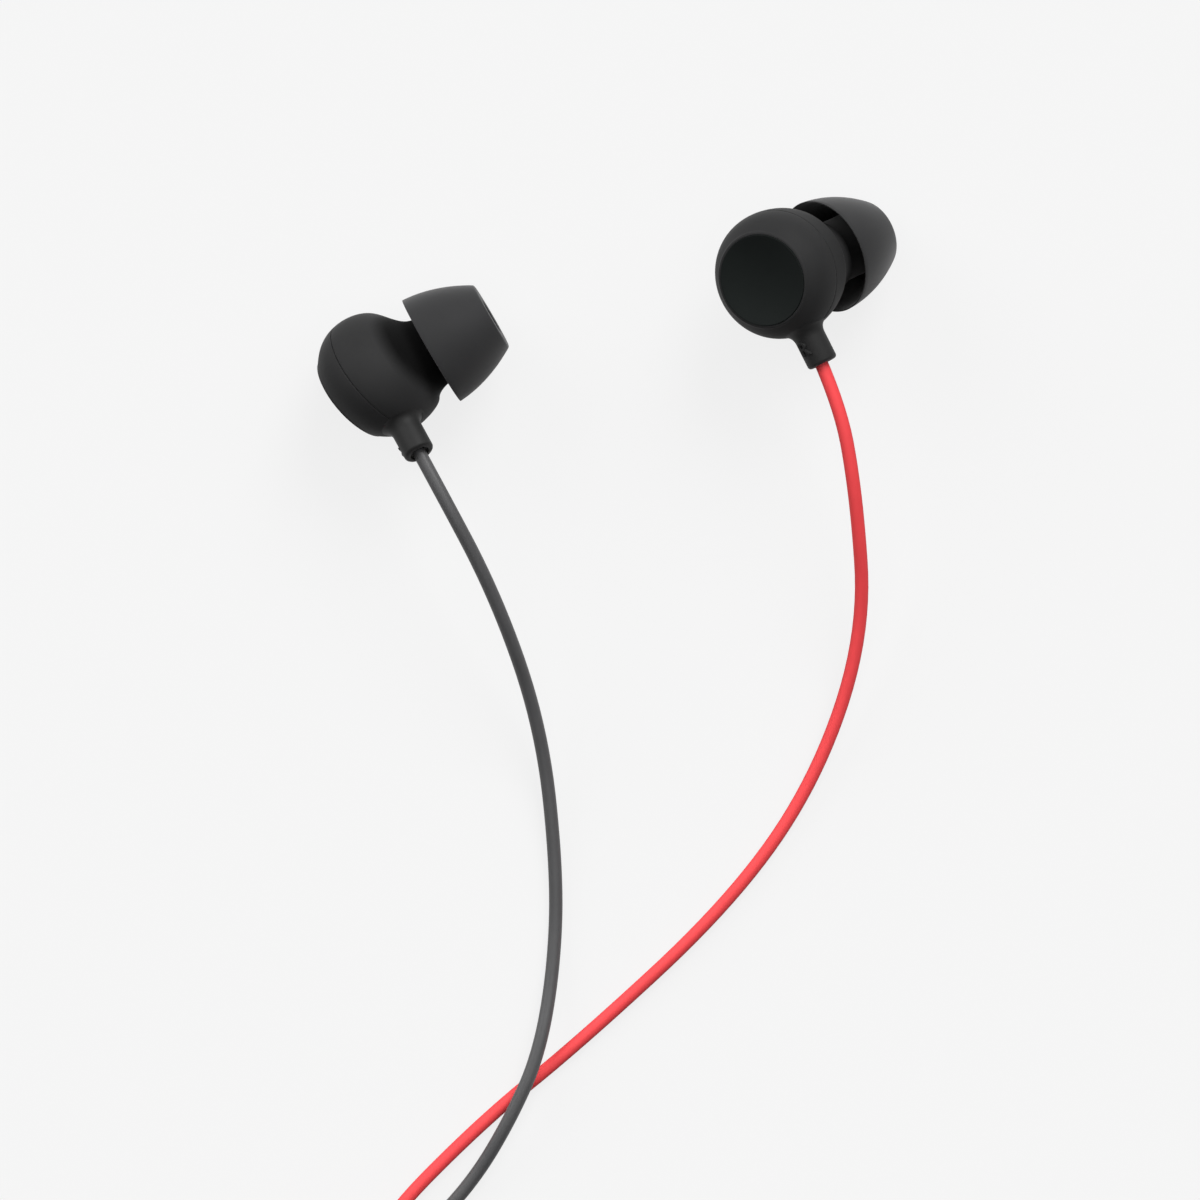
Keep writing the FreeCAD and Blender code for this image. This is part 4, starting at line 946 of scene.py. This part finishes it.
def raised_nub():
    """A small dome on the left stem, so that its side can be felt."""
    deselect()
    bpy.ops.mesh.primitive_uv_sphere_add(segments=24, ring_count=12, radius=NUB_RADIUS)
    bpy.ops.transform.resize(value=(NUB_HEIGHT_SHARE, 1.0, 1.0))
    bpy.ops.transform.translate(value=(-SEAM_BACK - STEM_RADIUS, 0, -NUB_PLACE))
    return apply_place(bpy.context.object)


def plug_piece(outline, eased, name, slot):
    """One turned piece of the plug, some of its corners rounded, set where the plug lies."""
    piece = chain(outline)
    for point, width in eased:
        ease(piece, point, width, 4)
    spin_round(PLUG_STEPS)
    place = Matrix.Translation(PLUG_PLACE) @ Matrix.Rotation(math.pi, 4, "Z") @ Matrix.Scale(MM, 4)
    set_in(piece, place)
    smooth(piece)
    piece.name = f"{name}_form"
    finish_piece(piece, "root", slot, name)


def make_plug():
    """Strain relief with its grooves, rounded grip and the pin's contacts."""
    outer = [(0, RELIEF_BORE), (0, RELIEF_THIN_RADIUS)]
    grooves = []
    pitch = RELIEF_LENGTH / (RELIEF_GROOVES + 1)
    for number in range(RELIEF_GROOVES):
        middle = pitch * (number + 1)
        for place, deep in ((-1, False), (-1, True), (1, True), (1, False)):
            along = middle + place * RELIEF_GROOVE_WIDTH / 2
            share = along / RELIEF_LENGTH
            skin = RELIEF_THIN_RADIUS + (RELIEF_ROOT_RADIUS - RELIEF_THIN_RADIUS) * share
            grooves.append((along, RELIEF_CORE_RADIUS if deep else skin))
    grip_start = RELIEF_LENGTH
    spigot_end = grip_start + RELIEF_SPIGOT_LENGTH
    root = [
        (grip_start, RELIEF_ROOT_RADIUS), (grip_start, RELIEF_SPIGOT_RADIUS),
        (spigot_end, RELIEF_SPIGOT_RADIUS), (spigot_end, 0),
        (RELIEF_CORD_DEPTH, 0), (RELIEF_CORD_DEPTH, RELIEF_BORE),
    ]
    eased = [(outer[1], RELIEF_ROUND)] + [(point, GROOVE_ROUND) for point in grooves]
    plug_piece(outer + grooves + root, eased, "plug_strain_relief", "relief_black")

    grip_end = grip_start + GRIP_LENGTH
    head_start = grip_end - GRIP_HEAD_LENGTH
    bore = RELIEF_SPIGOT_RADIUS + GLUE_GAP
    grip = [
        (grip_start, bore), (grip_start, GRIP_RADIUS), (grip_end, GRIP_END_RADIUS),
        (grip_end, GRIP_HEAD_RADIUS), (head_start, GRIP_HEAD_RADIUS), (head_start, 0),
        (spigot_end, 0), (spigot_end, bore),
    ]
    plug_piece(grip, [(grip[1], GRIP_ROUND), (grip[2], GRIP_END_ROUND)], "plug_grip", "relief_black")

    tip_start = grip_end + PIN_LENGTH - TIP_CONTACT_LENGTH
    ring_start = tip_start - INSULATOR_WIDTH - RING_CONTACT_LENGTH
    ring_end = ring_start + RING_CONTACT_LENGTH
    for name, start, end in (
        ("plug_sleeve", grip_end, ring_start - INSULATOR_WIDTH),
        ("plug_ring", ring_start, ring_end),
    ):
        contact = [(start, PIN_BORE), (start, PIN_RADIUS), (end, PIN_RADIUS), (end, PIN_BORE)]
        plug_piece(contact, [(point, CONTACT_ROUND) for point in contact[1:3]], name, "plug_metal")
    ball = [((tip_start + along, radius), width) for along, radius, width in TIP_BALL]
    socket = tip_start + TIP_SOCKET_DEPTH
    tip = [(tip_start, PIN_BORE), (tip_start, PIN_RADIUS)] + [point for point, _ in ball] + [
        (grip_end + PIN_LENGTH, 0), (socket, 0), (socket, PIN_BORE)]
    plug_piece(tip, [(tip[1], CONTACT_ROUND)] + ball, "plug_tip", "plug_metal")


def eased_copy(name, slot, width):
    """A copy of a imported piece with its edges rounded."""
    piece = copy_of(frame["nodes"][name])
    piece.name = f"{name}_form"
    bpy.ops.object.mode_set(mode="EDIT")
    bpy.ops.mesh.select_all(action="SELECT")
    bpy.ops.mesh.remove_doubles(threshold=1e-6)
    bpy.ops.mesh.dissolve_limited(angle_limit=math.radians(1))
    bpy.ops.object.mode_set(mode="OBJECT")
    edge = piece.modifiers.new("edge", "BEVEL")
    edge.width = width * MM
    edge.segments = 3
    edge.limit_method = "ANGLE"
    edge.angle_limit = math.radians(35)
    bpy.ops.object.modifier_apply(modifier="edge")
    smooth(piece)
    finish_piece(piece, "root", slot, name)


def finish_nodes():
    """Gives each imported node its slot's material."""
    slots = {row["node"]: row["material_slot"] for row in frame["record"]["subparts"]}
    for name, node in frame["nodes"].items():
        node.data.materials.clear()
        node.data.materials.append(MATERIALS[slots[name]])


def seen_rays(nodes, links):
    """One where a ray comes from the camera, a reflection or glass, and none where it only lights."""
    path = nodes.new("ShaderNodeLightPath").outputs
    mirrored = maths(nodes, links, "MAXIMUM", path["Is Glossy Ray"], path["Is Transmission Ray"])
    return maths(nodes, links, "MAXIMUM", path["Is Camera Ray"], mirrored)


def grey(level):
    """A neutral colour of one level."""
    return (level, level, level, 1)


def mixed_greys(nodes, links, first, second, share):
    """A neutral colour that goes from one level to another by a node's output."""
    mix = nodes.new("ShaderNodeMix")
    mix.data_type = "RGBA"
    mix.inputs["A"].default_value = grey(first)
    mix.inputs["B"].default_value = grey(second)
    links.new(share, mix.inputs["Factor"])
    return mix.outputs["Result"]


def make_floor():
    """A pale floor that shows a level of its own and takes a little light and shadow from the lamps."""
    bpy.ops.mesh.primitive_plane_add(size=FLOOR_SIZE, location=(*PHOTO_MIDDLE, 0))
    floor = bpy.context.object
    floor.name = "floor"
    material = bpy.data.materials.new("floor_paper")
    material.use_nodes = True
    nodes = material.node_tree.nodes
    links = material.node_tree.links
    shader = nodes["Principled BSDF"].inputs
    shader["Base Color"].default_value = grey(FLOOR_SHADE)
    shader["Roughness"].default_value = 0.9
    shader["Specular IOR Level"].default_value = 0.0
    shader["Emission Strength"].default_value = 1.0
    links.new(mixed_greys(nodes, links, 0.0, FLOOR_GLOW, seen_rays(nodes, links)), shader["Emission Color"])
    floor.data.materials.append(material)


def make_backdrop():
    """A pale backdrop low round the floor, which fades upwards into the room's own light."""
    world = bpy.data.worlds.new("studio")
    bpy.context.scene.world = world
    world.use_nodes = True
    nodes = world.node_tree.nodes
    links = world.node_tree.links
    heading = nodes.new("ShaderNodeTexCoord")
    split = nodes.new("ShaderNodeSeparateXYZ")
    links.new(heading.outputs["Generated"], split.inputs[0])
    low = nodes.new("ShaderNodeMapRange")
    for socket, value in zip(("From Min", "From Max", "To Min", "To Max"), (*BACKDROP_FADE, 1.0, 0.0)):
        low.inputs[socket].default_value = value
    links.new(split.outputs["Z"], low.inputs["Value"])
    shown = maths(nodes, links, "MULTIPLY", low.outputs["Result"], seen_rays(nodes, links))
    links.new(mixed_greys(nodes, links, ROOM_LIGHT, BACKDROP, shown), nodes["Background"].inputs["Color"])


def make_lamps():
    """Soft studio light from four sides."""
    for name, (direction, strength, width) in LAMPS.items():
        data = bpy.data.lights.new(name, "SUN")
        data.energy = strength
        data.angle = math.radians(width)
        lamp = bpy.data.objects.new(name, data)
        lamp.rotation_euler = Vector(direction).to_track_quat("Z", "Y").to_euler()
        lamp.location = Vector(direction)
        bpy.context.scene.collection.objects.link(lamp)


def make_camera():
    """The photograph's camera, straight above."""
    data = bpy.data.cameras.new("photo_camera")
    data.sensor_width = SENSOR_WIDTH
    data.lens = SENSOR_WIDTH * (CAMERA_HEIGHT - OBJECT_MID_HEIGHT) / PHOTO_WIDTH
    camera = bpy.data.objects.new("photo_camera", data)
    camera.location = (*PHOTO_MIDDLE, CAMERA_HEIGHT)
    bpy.context.scene.collection.objects.link(camera)
    bpy.context.scene.camera = camera
    bpy.context.scene.view_settings.view_transform = "Standard"


deselect()
make_floor()
make_backdrop()
make_lamps()
make_camera()
finish_nodes()
make_cords()
make_ear_tips()
make_front_shells()
make_rear_shells()
make_rear_discs()
make_stems()
make_plug()
eased_copy("cord_ties", "tie_black", 0.12)
eased_copy("splitter_shell", "relief_black", 0.20)
bpy.context.view_layer.update()
